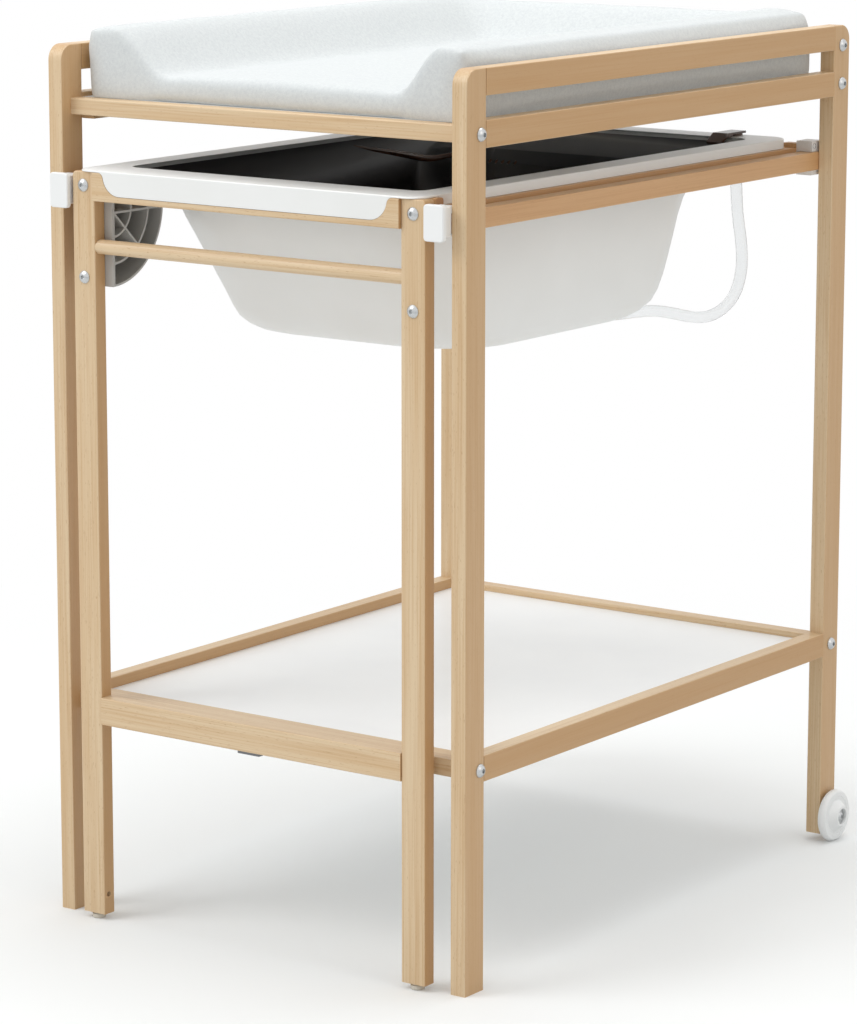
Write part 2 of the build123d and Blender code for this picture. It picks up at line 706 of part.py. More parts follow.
def legs():
    """Drawer legs with a rounded outer top corner and a hole near the foot."""
    leg = block((LEG_INNER, LEG_OUTER), LEG_Y, (LEG_LIFT, LEG_TOP))
    top_edges = leg.edges().filter_by(Axis.Y).group_by(Axis.Z)[-1]
    leg = fillet(top_edges.sort_by(Axis.X)[-1], LEG_CORNER_R)
    leg = eased(leg, Axis.Z)
    hole = (LEG_INNER - OVERRUN, LEG_Y[0] + LEG_HOLE_FROM_FRONT, LEG_HOLE_HEIGHT)
    leg -= rod(hole, (1, 0, 0), LEG_HOLE_R, LEG_HOLE_DEEP + OVERRUN)
    leg -= towel_rod(TENON_CLEARANCE)
    for screw in leg_screw_bores():
        leg -= screw
    return both_sides(leg)


def leg_glides():
    """Nylon glides under the drawer legs."""
    centre = (LEG_SCREW_X, sum(LEG_Y) / 2, 0)
    pad = extrude(Pos(centre) * Circle(GLIDE_R), GLIDE_PAD_TALL)
    pad = fillet(pad.edges().sort_by(Axis.Z)[0], GLIDE_EDGE_R)
    stem = extrude(Pos(centre) * Circle(GLIDE_R - GLIDE_EDGE_R), LEG_LIFT)
    return group(both_sides(pad + stem).values())


def leg_screw_bores():
    """Holes for the screws on the right leg's front."""
    lengths = (LEG_SCREW_LONG, LEG_SCREW_SHORT)
    radius = LEG_SCREW_SHANK_R + BOLT_HOLE_CLEARANCE
    bores = []
    for drop, length in zip(LEG_SCREW_DROPS, lengths):
        start = (LEG_SCREW_X, LEG_Y[0] - OVERRUN, LEG_TOP - drop)
        long = length + OVERRUN + BOLT_HOLE_CLEARANCE
        bores.append(rod(start, (0, 1, 0), radius, long))
    return bores


def leg_screws():
    """Domed screws on the legs' front faces."""
    screws = []
    for drop, length in zip(LEG_SCREW_DROPS, (LEG_SCREW_LONG, LEG_SCREW_SHORT)):
        screw = domed_screw(LEG_SCREW_R, LEG_SCREW_TALL, LEG_SCREW_SHANK_R, length)
        placed = Plane((LEG_SCREW_X, LEG_Y[0], LEG_TOP - drop), z_dir=(0, -1, 0)) * screw
        screws += both_sides(placed).values()
    return group(screws)


def drawer_rails():
    """Side rails that carry the bath, each with a horn at both ends."""
    x_span = (DRAWER_RAIL_INNER, LEG_OUTER)
    rail = block(x_span, (LEG_Y[1], DRAWER_REAR), (DRAWER_RAIL_LOW, DRAWER_RAIL_TOP))
    horn_end = LEG_Y[1] + FRONT_HORN_LONG
    horn = block(x_span, (LEG_Y[1], horn_end), (DRAWER_RAIL_LOW, LEG_TOP))
    top_edges = horn.edges().filter_by(Axis.X).group_by(Axis.Z)[-1]
    horn = fillet(top_edges.sort_by(Axis.Y)[-1], FRONT_HORN_ROUND)
    rear_y = (DRAWER_REAR - REAR_HORN_LONG, DRAWER_REAR)
    rear_horn = block(x_span, rear_y, (DRAWER_RAIL_LOW, REAR_HORN_TOP))
    top_edges = rear_horn.edges().filter_by(Axis.X).group_by(Axis.Z)[-1]
    rear_horn = fillet(top_edges.sort_by(Axis.Y)[-1], REAR_HORN_ROUND)
    rail = rail + horn + rear_horn
    for screw in leg_screw_bores():
        rail -= screw
    for screw in slider_screw_planes():
        rail -= screw * screw_cutter(slider_web() + DRAWER_RAIL_THICK / 2)
    return both_sides(rail)


def drawer_rear_rail():
    """Cross rail between the side rails' rear ends."""
    y_span = (DRAWER_REAR - REAR_RAIL_DEEP, DRAWER_REAR)
    rail = block((-DRAWER_RAIL_INNER, DRAWER_RAIL_INNER), y_span,
                 (DRAWER_RAIL_LOW, DRAWER_RAIL_TOP))
    return eased(rail, Axis.X)


def cut_out(depth_span, clearance, top):
    """Body that fills the apron's cut-out down to its bridge, less a clearance."""
    turn = math.radians(SHOULDER_TURN_DEG)
    apart = (LEG_TOP - BRIDGE_TOP) / (1 - math.cos(turn))
    reach = LEG_INNER - SHOULDER_FROM_LEG
    start = reach - apart * math.sin(turn)
    floor = BRIDGE_TOP + clearance
    cove = apart - SHOULDER_R - clearance
    shoulder = SHOULDER_R + clearance

    def on_cove(angle):
        return (start + cove * math.sin(angle), floor + cove - cove * math.cos(angle))

    def on_shoulder(angle):
        return (reach - shoulder * math.sin(angle),
                LEG_TOP - SHOULDER_R + shoulder * math.cos(angle))

    half = make_face(
        Polyline((0, top), (0, floor), on_cove(0))
        + ThreePointArc(on_cove(0), on_cove(turn / 2), on_cove(turn))
        + ThreePointArc(on_cove(turn), on_shoulder(turn / 2), on_shoulder(0))
        + Polyline(on_shoulder(0), (reach, top), (0, top))
    )
    placed = extrude(Plane((0, depth_span[0], 0), z_dir=(0, 1, 0), x_dir=(1, 0, 0)) * mirror(
        half, about=Plane.XZ), depth_span[1] - depth_span[0])
    return placed + mirror(placed, about=Plane.YZ)


def drawer_apron():
    """Front apron between the legs, cut out for the bath's front."""
    apron = block((-LEG_INNER, LEG_INNER), APRON_Y, (APRON_LOW, LEG_TOP))
    apron = eased(apron, Axis.X)
    return apron - cut_out((APRON_Y[0] - OVERRUN, APRON_Y[1] + OVERRUN), 0, LEG_TOP + OVERRUN)


def towel_rod(clearance=0.0):
    """Round rod between the legs, with its ends let into them."""
    half = LEG_INNER + TOWEL_ROD_TENON + clearance
    start = (-half, LEG_Y[0] + TOWEL_ROD_BACK, TOWEL_ROD_HEIGHT)
    return rod(start, (1, 0, 0), TOWEL_ROD_R + clearance, 2 * half)


def leg_stretcher():
    """Low stretcher between the legs."""
    rail = block((-LEG_INNER, LEG_INNER), STRETCHER_Y, (STRETCHER_LOW, STRETCHER_TOP))
    return eased(rail, Axis.X)


def catch_plate():
    """Small plate under the stretcher."""
    y_span = (STRETCHER_Y[0] + CATCH_MARGIN, STRETCHER_Y[1] - CATCH_MARGIN)
    plate = block((-CATCH_WIDE / 2, CATCH_WIDE / 2), y_span,
                  (STRETCHER_LOW - CATCH_THICK, STRETCHER_LOW))
    return eased(plate, Axis.Z)


def slider_web():
    """Thickness of the slider's web between the drawer rail and the guide rail."""
    return GUIDE_INNER - LEG_OUTER - SLIDER_RUN_GAP


def sliders():
    """C-shaped sliders that straddle the guide rails at the drawer's rear."""
    y_span = (DRAWER_REAR - SLIDER_LONG, DRAWER_REAR)
    x_span = (LEG_OUTER, INNER - SLIDER_FROM_POST)
    z_span = (GUIDE_LOW - SLIDER_BELOW, GUIDE_TOP + SLIDER_ABOVE)
    slider = eased(block(x_span, y_span, z_span), Axis.Y, SLIDER_EDGE_R)
    slider -= block(
        (GUIDE_INNER - SLIDER_RUN_GAP, INNER),
        (y_span[0] - OVERRUN, y_span[1] + OVERRUN),
        (GUIDE_LOW - SLIDER_RUN_GAP, GUIDE_TOP + SLIDER_RUN_GAP),
    )
    for plane in slider_screw_planes():
        slider -= plane * screw_cutter(slider_web() + DRAWER_RAIL_THICK / 2)
    return both_sides(slider)


def slider_screw_planes():
    """Plane of the screw that holds the right slider to the drawer rail."""
    y = DRAWER_REAR - SLIDER_LONG / 2
    x = GUIDE_INNER - SLIDER_RUN_GAP
    return [Plane((x, y, GUIDE_MIDDLE_Z), z_dir=(1, 0, 0))]


def slider_screws():
    """Screws that hold the sliders to the drawer rails."""
    screw = countersunk_screw(slider_web() + DRAWER_RAIL_THICK / 2)
    screws = []
    for plane in slider_screw_planes():
        screws += both_sides(plane * screw).values()
    return group(screws)


def ribbed_bracket():
    """Grey quarter-round bracket with ribs, open towards the bath."""
    outer_x = BRACKET_FROM_LEG_SIDE - LEG_OUTER
    centre_z = DRAWER_RAIL_LOW - BRACKET_CENTRE_BELOW_RAIL
    plane = Plane((outer_x, LEG_Y[1], centre_z), x_dir=(0, 1, 0), z_dir=(1, 0, 0))
    top = BRACKET_CENTRE_BELOW_RAIL
    hub = -BRACKET_HUB_DROP

    def quarter(radius):
        """Quarter disc below the top line."""
        window = Rectangle(BRACKET_R, BRACKET_R + top, align=(Align.MIN, Align.MAX))
        return Circle(radius) & (Pos(0, top) * window)

    def strip(start, end):
        """Straight rib between two points."""
        run = Vector(*end) - Vector(*start)
        middle = (Vector(*start) + Vector(*end)) / 2
        turn = math.degrees(math.atan2(run.Y, run.X))
        return Pos(middle.X, middle.Y) * Rot(0, 0, turn) * Rectangle(run.length, BRACKET_WALL)

    rim = quarter(BRACKET_R) - quarter(BRACKET_R - BRACKET_WALL)
    inner = quarter(BRACKET_INNER_R) - quarter(BRACKET_INNER_R - BRACKET_WALL)
    middle_ring = quarter(BRACKET_MIDDLE_R) - quarter(BRACKET_MIDDLE_R - BRACKET_WALL)
    reach = BRACKET_R - BRACKET_WALL / 2
    diagonal = reach * math.cos(math.pi / 4)
    off = BRACKET_POST_OFF
    ribs = [
        strip((off, top), (off, -math.sqrt(reach ** 2 - off ** 2))),
        strip((0, hub), (math.sqrt(reach ** 2 - hub ** 2), hub)),
        strip((off, hub), (diagonal, -diagonal)),
        strip((BRACKET_WALL / 2, top), (BRACKET_WALL / 2, -reach)),
    ]
    web = rim + inner + middle_ring
    for rib in ribs:
        web += rib
    web = web & quarter(BRACKET_R)
    body = extrude(plane * quarter(BRACKET_R), BRACKET_BACK)
    body += extrude(plane * web, BRACKET_DEEP)
    return body


# Bath

def bath_section(section, inset, rise=0.0):
    """Rounded outline of the bath at one height, drawn in on all sides."""
    height, front, rear, half, corner = section
    outline = RectangleRounded(
        2 * (half - inset), rear - front - 2 * inset, corner - inset
    )
    return Pos(0, (front + rear) / 2, height + rise) * outline


def between(before, start, end, after, share):
    """Value on a smooth curve between start and end, with their neighbours' slopes."""
    slope_start = (end - before) / 2
    slope_end = (after - start) / 2
    square, cube = share ** 2, share ** 3
    return (
        (2 * cube - 3 * square + 1) * start
        + (cube - 2 * square + share) * slope_start
        + (3 * square - 2 * cube) * end
        + (cube - square) * slope_end
    )


def bath_levels():
    """Sections of the bath with smooth ones added between those that are named."""
    rows = (BATH_SECTIONS[0],) + BATH_SECTIONS + (BATH_SECTIONS[-1],)
    levels = []
    for before, start, end, after in zip(rows, rows[1:], rows[2:], rows[3:]):
        for step in range(BATH_STEPS):
            share = step / BATH_STEPS
            levels.append(tuple(
                between(*values, share) for values in zip(before, start, end, after)
            ))
    return levels + [BATH_SECTIONS[-1]]


def bath_hollow(inset, floor_rise, top_rise):
    """Lofted body of the bath, drawn in by an inset and raised at its floor."""
    levels = bath_levels()
    low, high = levels[0], levels[-1]
    tall = high[0] - low[0]
    sections = []
    for level in levels:
        rise = floor_rise * (high[0] - level[0]) / tall
        sections.append(bath_section(level, inset, rise))
    body = loft(sections, ruled=True)
    if top_rise:
        body += extrude(bath_section(high, inset), top_rise)
    return body


def rim_outline(inset):
    """Outline of the rim from above, with its own radii at the front and rear."""
    half = RIM_HALF - inset
    low, high = RIM_FRONT + inset, RIM_REAR - inset
    outline = Pos(0, (low + high) / 2) * Rectangle(2 * half, high - low)
    ends = outline.vertices().group_by(Axis.Y)
    outline = fillet(ends[-1], RIM_CORNER_REAR - inset)
    front = outline.vertices().group_by(Axis.Y)[0]
    return fillet(front, RIM_CORNER_FRONT - inset)


def clip_boss():
    """Lower end of the clip's boss, at the height where the hose ends in it."""
    end = hose_points()[-1]
    return Vector(CLIP_MIDDLE + CLIP_BOSS_OFF, end.Y, end.Z)


def hose_hole(radius):
    """Cutter through the rear rim for the clip's boss."""
    low = clip_boss()
    return rod(low, (0, 0, 1), radius, RIM_TOP - low.Z + OVERRUN)


def tub_shell():
    """White bath with its rim, skirt and front fascia."""
    rim = extrude(Pos(0, 0, SKIRT_LOW) * rim_outline(0), SKIRT_TALL)
    rim = fillet(rim.faces().sort_by(Axis.Z)[-1].edges(), RIM_EDGE_R)
    rim -= extrude(Pos(0, 0, SKIRT_LOW) * rim_outline(SKIRT_THICK), RIM_UNDER - SKIRT_LOW)
    horn_end = LEG_Y[1] + FRONT_HORN_LONG + SEAT_CLEARANCE
    rim -= block((-HALF, HALF), (RIM_FRONT - OVERRUN, horn_end), (SKIRT_LOW - OVERRUN, RIM_UNDER))
    fascia_y = (RIM_FRONT, RIM_FRONT + FASCIA_THICK)
    fascia = cut_out(fascia_y, FASCIA_CLEARANCE, RIM_TOP - RIM_EDGE_R)
    shell = rim + fascia + bath_hollow(0, 0, 0)
    shell -= bath_hollow(BATH_WALL, BATH_WALL, RIM_PLATE + OVERRUN)
    shell -= drain_hole(DRAIN_HOLE_R)
    shell -= hose_hole(CLIP_BOSS_R + CLIP_HOLE_CLEARANCE)
    return shell


def drain_hole(radius):
    """Cutter through the bath's floor at the drain."""
    start = (DRAIN_X, DRAIN_Y, BATH_BOTTOM - OVERRUN)
    return rod(start, (0, 0, 1), radius, 2 * OVERRUN)


def tub_liner():
    """Dark inner skin of the bath, just inside the white shell."""
    outer = BATH_WALL + LINER_GAP
    inner = outer + LINER_WALL
    liner = bath_hollow(outer, outer, RIM_PLATE)
    liner -= bath_hollow(inner, inner, RIM_PLATE + OVERRUN)
    liner -= drain_hole(DRAIN_HOLE_R)
    pitch_start = OVERFLOW_MIDDLE - OVERFLOW_PITCH * (OVERFLOW_HOLES - 1) / 2
    for index in range(OVERFLOW_HOLES):
        x = pitch_start + index * OVERFLOW_PITCH
        start = (x, BATH_FLOOR_REAR, OVERFLOW_HEIGHT)
        liner -= rod(start, (0, 1, 0), OVERFLOW_HOLE_R, RIM_REAR - BATH_FLOOR_REAR)
    return liner


def drain_fitting():
    """Drain with its flange inside the bath, stem, elbow and hose spigot."""
    y = DRAIN_Y
    floor = BATH_FLOOR_TOP
    flange = rod((DRAIN_X, y, floor), (0, 0, 1), DRAIN_FLANGE_R, DRAIN_FLANGE_TALL)
    flange = fillet(flange.edges().sort_by(Axis.Z)[-1], DRAIN_FLANGE_TALL / 2)
    stem_low = BATH_BOTTOM - DRAIN_NUT_TALL
    stem = rod((DRAIN_X, y, stem_low), (0, 0, 1), DRAIN_STEM_R, floor - stem_low)
    body = rod((DRAIN_X, y, BATH_BOTTOM - DRAIN_BODY_DROP), (0, 0, 1), DRAIN_BODY_R,
               DRAIN_BODY_DROP - DRAIN_NUT_TALL)
    fitting = flange + stem + body
    dish_low = BATH_BOTTOM - DRAIN_AXIS_DROP + SPIGOT_R
    fitting -= rod((DRAIN_X, y, dish_low), (0, 0, 1), DRAIN_BODY_R - BATH_WALL,
                   floor - dish_low - DRAIN_FLANGE_TALL)
    for index in range(DRAIN_SLOTS):
        turn = 2 * math.pi * index / DRAIN_SLOTS
        x = DRAIN_X + DRAIN_SLOT_RING_R * math.cos(turn)
        place = (x, y + DRAIN_SLOT_RING_R * math.sin(turn), floor - OVERRUN)
        fitting -= rod(place, (0, 0, 1), DRAIN_SLOT_R, 2 * OVERRUN)
    end = hose_start()
    back = hose_direction() * -1
    spigot = rod(end, back, SPIGOT_R, SPIGOT_LONG)
    return fitting + spigot


def drain_nut():
    """Nut that clamps the drain under the bath."""
    y = DRAIN_Y
    low = BATH_BOTTOM - DRAIN_NUT_TALL
    nut = rod((DRAIN_X, y, low), (0, 0, 1), DRAIN_NUT_R, DRAIN_NUT_TALL)
    for index in range(DRAIN_NUT_RIBS):
        turn = 2 * math.pi * index / DRAIN_NUT_RIBS
        x = DRAIN_X + DRAIN_NUT_R * math.cos(turn)
        place = (x, y + DRAIN_NUT_R * math.sin(turn), low)
        nut += rod(place, (0, 0, 1), DRAIN_RIB_R, DRAIN_NUT_TALL)
    return nut - rod((DRAIN_X, y, low - OVERRUN), (0, 0, 1),
                     DRAIN_STEM_R + BOLT_HOLE_CLEARANCE, DRAIN_NUT_TALL + 2 * OVERRUN)


def hose_points():
    """Route of the hose in the table's own frame."""
    drain = Vector(DRAIN_X, DRAIN_Y, BATH_BOTTOM)
    return [drain + Vector(*offset) for offset in HOSE_ROUTE]


def hose_start():
    """Point where the hose leaves the drain's spigot."""
    return hose_points()[0]


def hose_direction():
    """Direction in which the hose leaves the spigot."""
    points = hose_points()
    return (points[1] - points[0]).normalized()


def hose_radii():
    """Radius of each bend: as large as its two runs allow."""
    points = hose_points()
    radii = []
    for before, corner, after in zip(points, points[1:], points[2:]):
        first, second = corner - before, after - corner
        turn = math.radians(first.get_angle(second))
        shorter = min(first.length, second.length)
        radii.append(HOSE_ARC_SHARE * shorter / math.tan(turn / 2))
    return radii


def drain_hose():
    """Drain hose from the spigot to the clip's boss."""
    radii = hose_radii()
    path = FilletPolyline(*hose_points(), radius=radii)
    tube = sweep(Plane(path @ 0, z_dir=path % 0) * Circle(HOSE_R), path=path)
    section = math.pi * HOSE_R ** 2
    print("hose length", round(path.length, 1), "volume ratio",
          round(tube.volume / (section * path.length), 4))
    print("hose bend radii", [round(radius) for radius in radii])
    return tube


def hose_clip():
    """Brown clip that hooks over the rear rim and holds the hose's end."""
    rear_opening = BATH_TOP_REAR - BATH_WALL - LINER_GAP - LINER_WALL - CLIP_LEAF_GAP
    low_section = BATH_SECTIONS[-2]
    slope = Vector(low_section[2] - BATH_TOP_REAR, low_section[0] - RIM_UNDER)
    down = slope.normalized()
    out = Vector(-down.Y, down.X) * -1
    seat = RIM_TOP + SEAT_CLEARANCE
    corner = Vector(rear_opening - CLIP_THICK, seat)
    tip = corner + down * CLIP_LEAF
    upper_tip = tip + out * CLIP_THICK
    base_end = rear_opening + CLIP_BASE_LONG
    arm_low = seat + CLIP_ARM_LIFT
    outline = Polyline(
        (tip.X, tip.Y),
        (corner.X, corner.Y),
        (base_end, seat),
        (base_end, arm_low),
        (CLIP_REAR, arm_low),
        (CLIP_REAR, arm_low + CLIP_THICK),
        (rear_opening - CLIP_THICK, arm_low + CLIP_THICK),
        (upper_tip.X, upper_tip.Y),
        close=True,
    )
    plane = Plane((CLIP_MIDDLE - CLIP_WIDE / 2, 0, 0), x_dir=(0, 1, 0), z_dir=(1, 0, 0))
    clip = extrude(plane * make_face(outline), CLIP_WIDE)
    low = clip_boss()
    return clip + rod(low, (0, 0, 1), CLIP_BOSS_R, arm_low - low.Z)


# Changing mat

def mat_profile(draw):
    """Cross section of the mat: bed, sloped inner sides and two raised bolsters."""
    low = MAT_RAIL_TOP + MAT_GAP
    half = MAT_HALF_WIDE - draw
    bed = low + MAT_BED_TALL - draw
    top = low + MAT_SIDE_TALL - draw
    inner = half - MAT_BOLSTER_WIDE
    foot = inner - MAT_SLOPE_WIDE
    shoulder = top - (top - bed) / 3
    side_middle = (half + MAT_SIDE_BULGE, (low + shoulder) / 2)
    right = (
        ThreePointArc((half, low), side_middle, (half, shoulder))
        + ThreePointArc((half, shoulder), ((half + inner) / 2, top), (inner, shoulder))
        + ThreePointArc(
            (inner, shoulder),
            ((inner + foot) / 2 - (shoulder - bed) / 8, (shoulder + bed) / 2 - (shoulder - bed) / 8),
            (foot, bed),
        )
    )
    left = mirror(right, about=Plane.YZ)
    bed_line = ThreePointArc((-foot, bed), (0, bed + MAT_BED_CROWN), (foot, bed))
    bottom = Line((-half, low), (half, low))
    return make_face(right + left + bed_line + bottom)


def mat_slice(y, draw):
    """Cross section of the mat placed at its distance along the table."""
    plane = Plane((0, y, 0), x_dir=(1, 0, 0), z_dir=(0, -1, 0))
    return plane * mat_profile(draw)


def rear_bolster():
    """Raised rear side of the mat, between the two side bolsters."""
    low = MAT_RAIL_TOP + MAT_GAP
    bed = low + MAT_BED_TALL
    top = low + MAT_REAR_TALL
    rear = MAT_REAR - MAT_END_DRAW
    inner = rear - MAT_BOLSTER_WIDE
    foot = inner - MAT_SLOPE_WIDE
    shoulder = top - (top - bed) / 3
    lift = (shoulder - bed) / 8
    outline = (
        Line((foot, low), (rear, low))
        + ThreePointArc((rear, low), (rear + MAT_SIDE_BULGE, (low + shoulder) / 2), (rear, shoulder))
        + ThreePointArc((rear, shoulder), ((rear + inner) / 2, top), (inner, shoulder))
        + ThreePointArc(
            (inner, shoulder),
            ((inner + foot) / 2 + lift, (shoulder + bed) / 2 - lift),
            (foot, bed),
        )
        + Line((foot, bed), (foot, low))
    )
    half = MAT_HALF_WIDE - MAT_BOLSTER_WIDE / 2
    plane = Plane((-half, 0, 0), x_dir=(0, 1, 0), z_dir=(1, 0, 0))
    return extrude(plane * make_face(outline), 2 * half)


def changing_mat():
    """Padded mat with raised left, right and rear sides."""
    near = MAT_FRONT + MAT_END_ROUND_LONG
    far = MAT_REAR - MAT_END_ROUND_LONG
    body = loft([mat_slice(MAT_FRONT, MAT_END_DRAW), mat_slice(near, 0)], ruled=True)
    body += loft([mat_slice(near, 0), mat_slice(far, 0)], ruled=True)
    body += loft([mat_slice(far, 0), mat_slice(MAT_REAR, MAT_END_DRAW)], ruled=True)
    return body + rear_bolster()


def all_nodes():
    """Every node's name with its solids."""
    pairs = {
        "post_front": front_posts(),
        "post_rear": rear_posts(),
        "side_rail_upper": side_rails(SIDE_TOP),
        "side_rail_lower": side_rails(LOWER_RAIL_TOP),
        "mat_ledge": mat_ledges(),
        "guide_rail": guide_rails(),
        "guide_cap": guide_caps(),
        "wheel": wheels(),
        "leg": legs(),
        "drawer_rail": drawer_rails(),
        "slider": sliders(),
    }
    groove = shelf_panel(PANEL_CLEARANCE)
    shelf_rails = side_rails(SHELF_RAIL_TOP)
    pairs["shelf_side_rail"] = {side: rail - groove for side, rail in shelf_rails.items()}
    nodes = {
        "mat_front_rail": cross_rail(FRONT_RAIL_Y, MAT_RAIL_Z),
        "rear_rail_upper": cross_rail(REAR_RAIL_Y, UPPER_REAR_Z),
        "rear_rail_lower": cross_rail(REAR_RAIL_Y, MAT_RAIL_Z),
        "shelf_front_rail": cross_rail(SHELF_FRONT_Y, SHELF_CROSS_Z) - groove,
        "shelf_rear_rail": cross_rail(REAR_RAIL_Y, SHELF_CROSS_Z) - groove,
        "shelf_panel": shelf_panel(),
        "mat_base_panel": mat_base_panel(),
        "frame_bolts": frame_bolts(),
        "barrel_nuts": barrel_nuts(),
        "side_frame_dowels": side_frame_dowels(),
        "guide_screws": guide_screws(),
        "wheel_axles": wheel_axles(),
        "wheel_washers": wheel_washers(),
        "leg_glides": leg_glides(),
        "leg_screws": leg_screws(),
        "drawer_apron": drawer_apron(),
        "drawer_rear_rail": drawer_rear_rail(),
        "towel_rod": towel_rod(),
        "leg_stretcher": leg_stretcher(),
        "catch_plate": catch_plate(),
        "slider_screws": slider_screws(),
        "ribbed_bracket": ribbed_bracket(),
        "tub_shell": tub_shell(),
        "tub_liner": tub_liner(),
        "drain_fitting": drain_fitting(),
        "drain_nut": drain_nut(),
        "drain_hose": drain_hose(),
        "hose_clip": hose_clip(),
        "changing_mat": changing_mat(),
    }
    for name, pair in pairs.items():
        for side, piece in pair.items():
            nodes[f"{name}_{side}"] = piece
    return nodes


def main():
    """Write one STEP file per node."""
    os.makedirs("parts", exist_ok=True)
    for name, piece in all_nodes().items():
        export_step(piece, f"parts/{name}.step")


if __name__ == "__main__":
    main()
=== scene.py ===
"""Looks of a changing table with a pull-out baby bath, built around its packed construction."""

from __future__ import annotations

import json
import logging
import math
from dataclasses import dataclass
from enum import Enum
from typing import Any

import bmesh
import bpy
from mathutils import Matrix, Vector, noise

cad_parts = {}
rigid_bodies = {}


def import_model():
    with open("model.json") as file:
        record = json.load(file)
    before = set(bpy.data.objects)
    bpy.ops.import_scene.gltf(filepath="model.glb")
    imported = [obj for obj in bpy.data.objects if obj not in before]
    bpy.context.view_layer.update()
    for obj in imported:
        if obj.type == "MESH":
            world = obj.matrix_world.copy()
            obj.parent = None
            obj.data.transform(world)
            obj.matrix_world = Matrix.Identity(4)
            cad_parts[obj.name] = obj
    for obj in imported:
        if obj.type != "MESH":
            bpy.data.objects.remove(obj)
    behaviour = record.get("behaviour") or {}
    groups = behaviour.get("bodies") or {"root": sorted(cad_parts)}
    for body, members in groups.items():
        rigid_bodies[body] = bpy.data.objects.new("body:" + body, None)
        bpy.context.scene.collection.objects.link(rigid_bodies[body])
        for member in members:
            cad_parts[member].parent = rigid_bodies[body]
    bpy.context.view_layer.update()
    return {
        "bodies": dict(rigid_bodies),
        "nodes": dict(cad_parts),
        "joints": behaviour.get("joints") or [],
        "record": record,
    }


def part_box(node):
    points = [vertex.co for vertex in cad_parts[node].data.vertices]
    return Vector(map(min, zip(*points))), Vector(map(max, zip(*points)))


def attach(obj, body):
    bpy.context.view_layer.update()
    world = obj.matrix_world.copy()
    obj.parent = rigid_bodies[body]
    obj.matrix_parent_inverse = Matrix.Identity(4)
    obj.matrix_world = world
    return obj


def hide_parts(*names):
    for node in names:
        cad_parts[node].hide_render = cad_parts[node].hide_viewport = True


LOG = logging.getLogger("changing_table")
MM = 0.001
MERGE_MM = 0.01
FLAT_DEG = 0.5
ROUND_SEGMENTS = 4
FACE_WEIGHT = 100
# A face looks along an axis when its normal has at least this much of it
FACES_AXIS = 0.9


class Grain(Enum):
    """Axis that the grain of a wooden piece runs along."""

    X = 0
    Y = 1
    Z = 2


def linear(colour: str) -> tuple[float, float, float, float]:
    """Turn an sRGB hex colour to linear, with the curve of the sRGB standard.

    Args:
        colour: Six hexadecimal digits.

    Returns:
        Linear red, green, blue and an alpha of one.
    """
    values = [int(colour[place:place + 2], 16) / 255 for place in (0, 2, 4)]
    shades = [v / 12.92 if v <= 0.04045 else ((v + 0.055) / 1.055) ** 2.4 for v in values]
    return (shades[0], shades[1], shades[2], 1.0)


def add_node(
    tree: bpy.types.NodeTree,
    kind: str,
    settings: dict[Any, Any] | None = None,
    links: dict[Any, bpy.types.NodeSocket] | None = None,
) -> bpy.types.Node:
    """Add a shader node with its settings and links.

    Args:
        tree: Node tree that gets the node.
        kind: Blender's name of the node type.
        settings: Values by property name, or by input name or number.
        links: Source sockets by input name or number.

    Returns:
        The new node.
    """
    node = tree.nodes.new(kind)
    for key, value in (settings or {}).items():
        if isinstance(key, str) and hasattr(node, key):
            setattr(node, key, value)
        else:
            node.inputs[key].default_value = value
    for key, source in (links or {}).items():
        tree.links.new(source, node.inputs[key])
    return node


def new_material(name: str) -> tuple[bpy.types.Material, bpy.types.NodeTree]:
    """Make an empty node material.

    Args:
        name: Name of the material.

    Returns:
        The material and its node tree, without nodes.
    """
    material = bpy.data.materials.new(name)
    material.use_nodes = True
    material.node_tree.nodes.clear()
    return material, material.node_tree


def finish_material(
    material: bpy.types.Material,
    settings: dict[Any, Any],
    links: dict[Any, bpy.types.NodeSocket] | None = None,
) -> bpy.types.Material:
    """Close a material with its surface shader.

    Args:
        material: Material whose tree holds the pattern nodes.
        settings: Values of the shader's own sockets.
        links: Pattern sockets that drive the shader.

    Returns:
        The same material.
    """
    tree = material.node_tree
    shader = add_node(tree, "ShaderNodeBsdfPrincipled", settings, links)
    add_node(tree, "ShaderNodeOutputMaterial", None, {"Surface": shader.outputs["BSDF"]})
    return material


def dress(piece: bpy.types.Object, material: bpy.types.Material) -> None:
    """Give a piece its only material.

    Args:
        piece: A new piece or a construction node.
        material: Its finish.
    """
    piece.data.materials.clear()
    piece.data.materials.append(material)


def pick_only(piece: bpy.types.Object) -> None:
    """Deselect everything, then select one object and make it active.

    Args:
        piece: Object that the next operator works on.
    """
    bpy.ops.object.select_all(action="DESELECT")
    piece.select_set(True)
    bpy.context.view_layer.objects.active = piece


def smoothstep(low: float, high: float, value: float) -> float:
    """Smooth rise from zero to one.

    Args:
        low: Value at which it starts to rise.
        high: Value at which it reaches one.
        value: Where it is wanted.

    Returns:
        Height of the rise there.
    """
    share = min(1.0, max(0.0, (value - low) / (high - low)))
    return share * share * (3 - 2 * share)


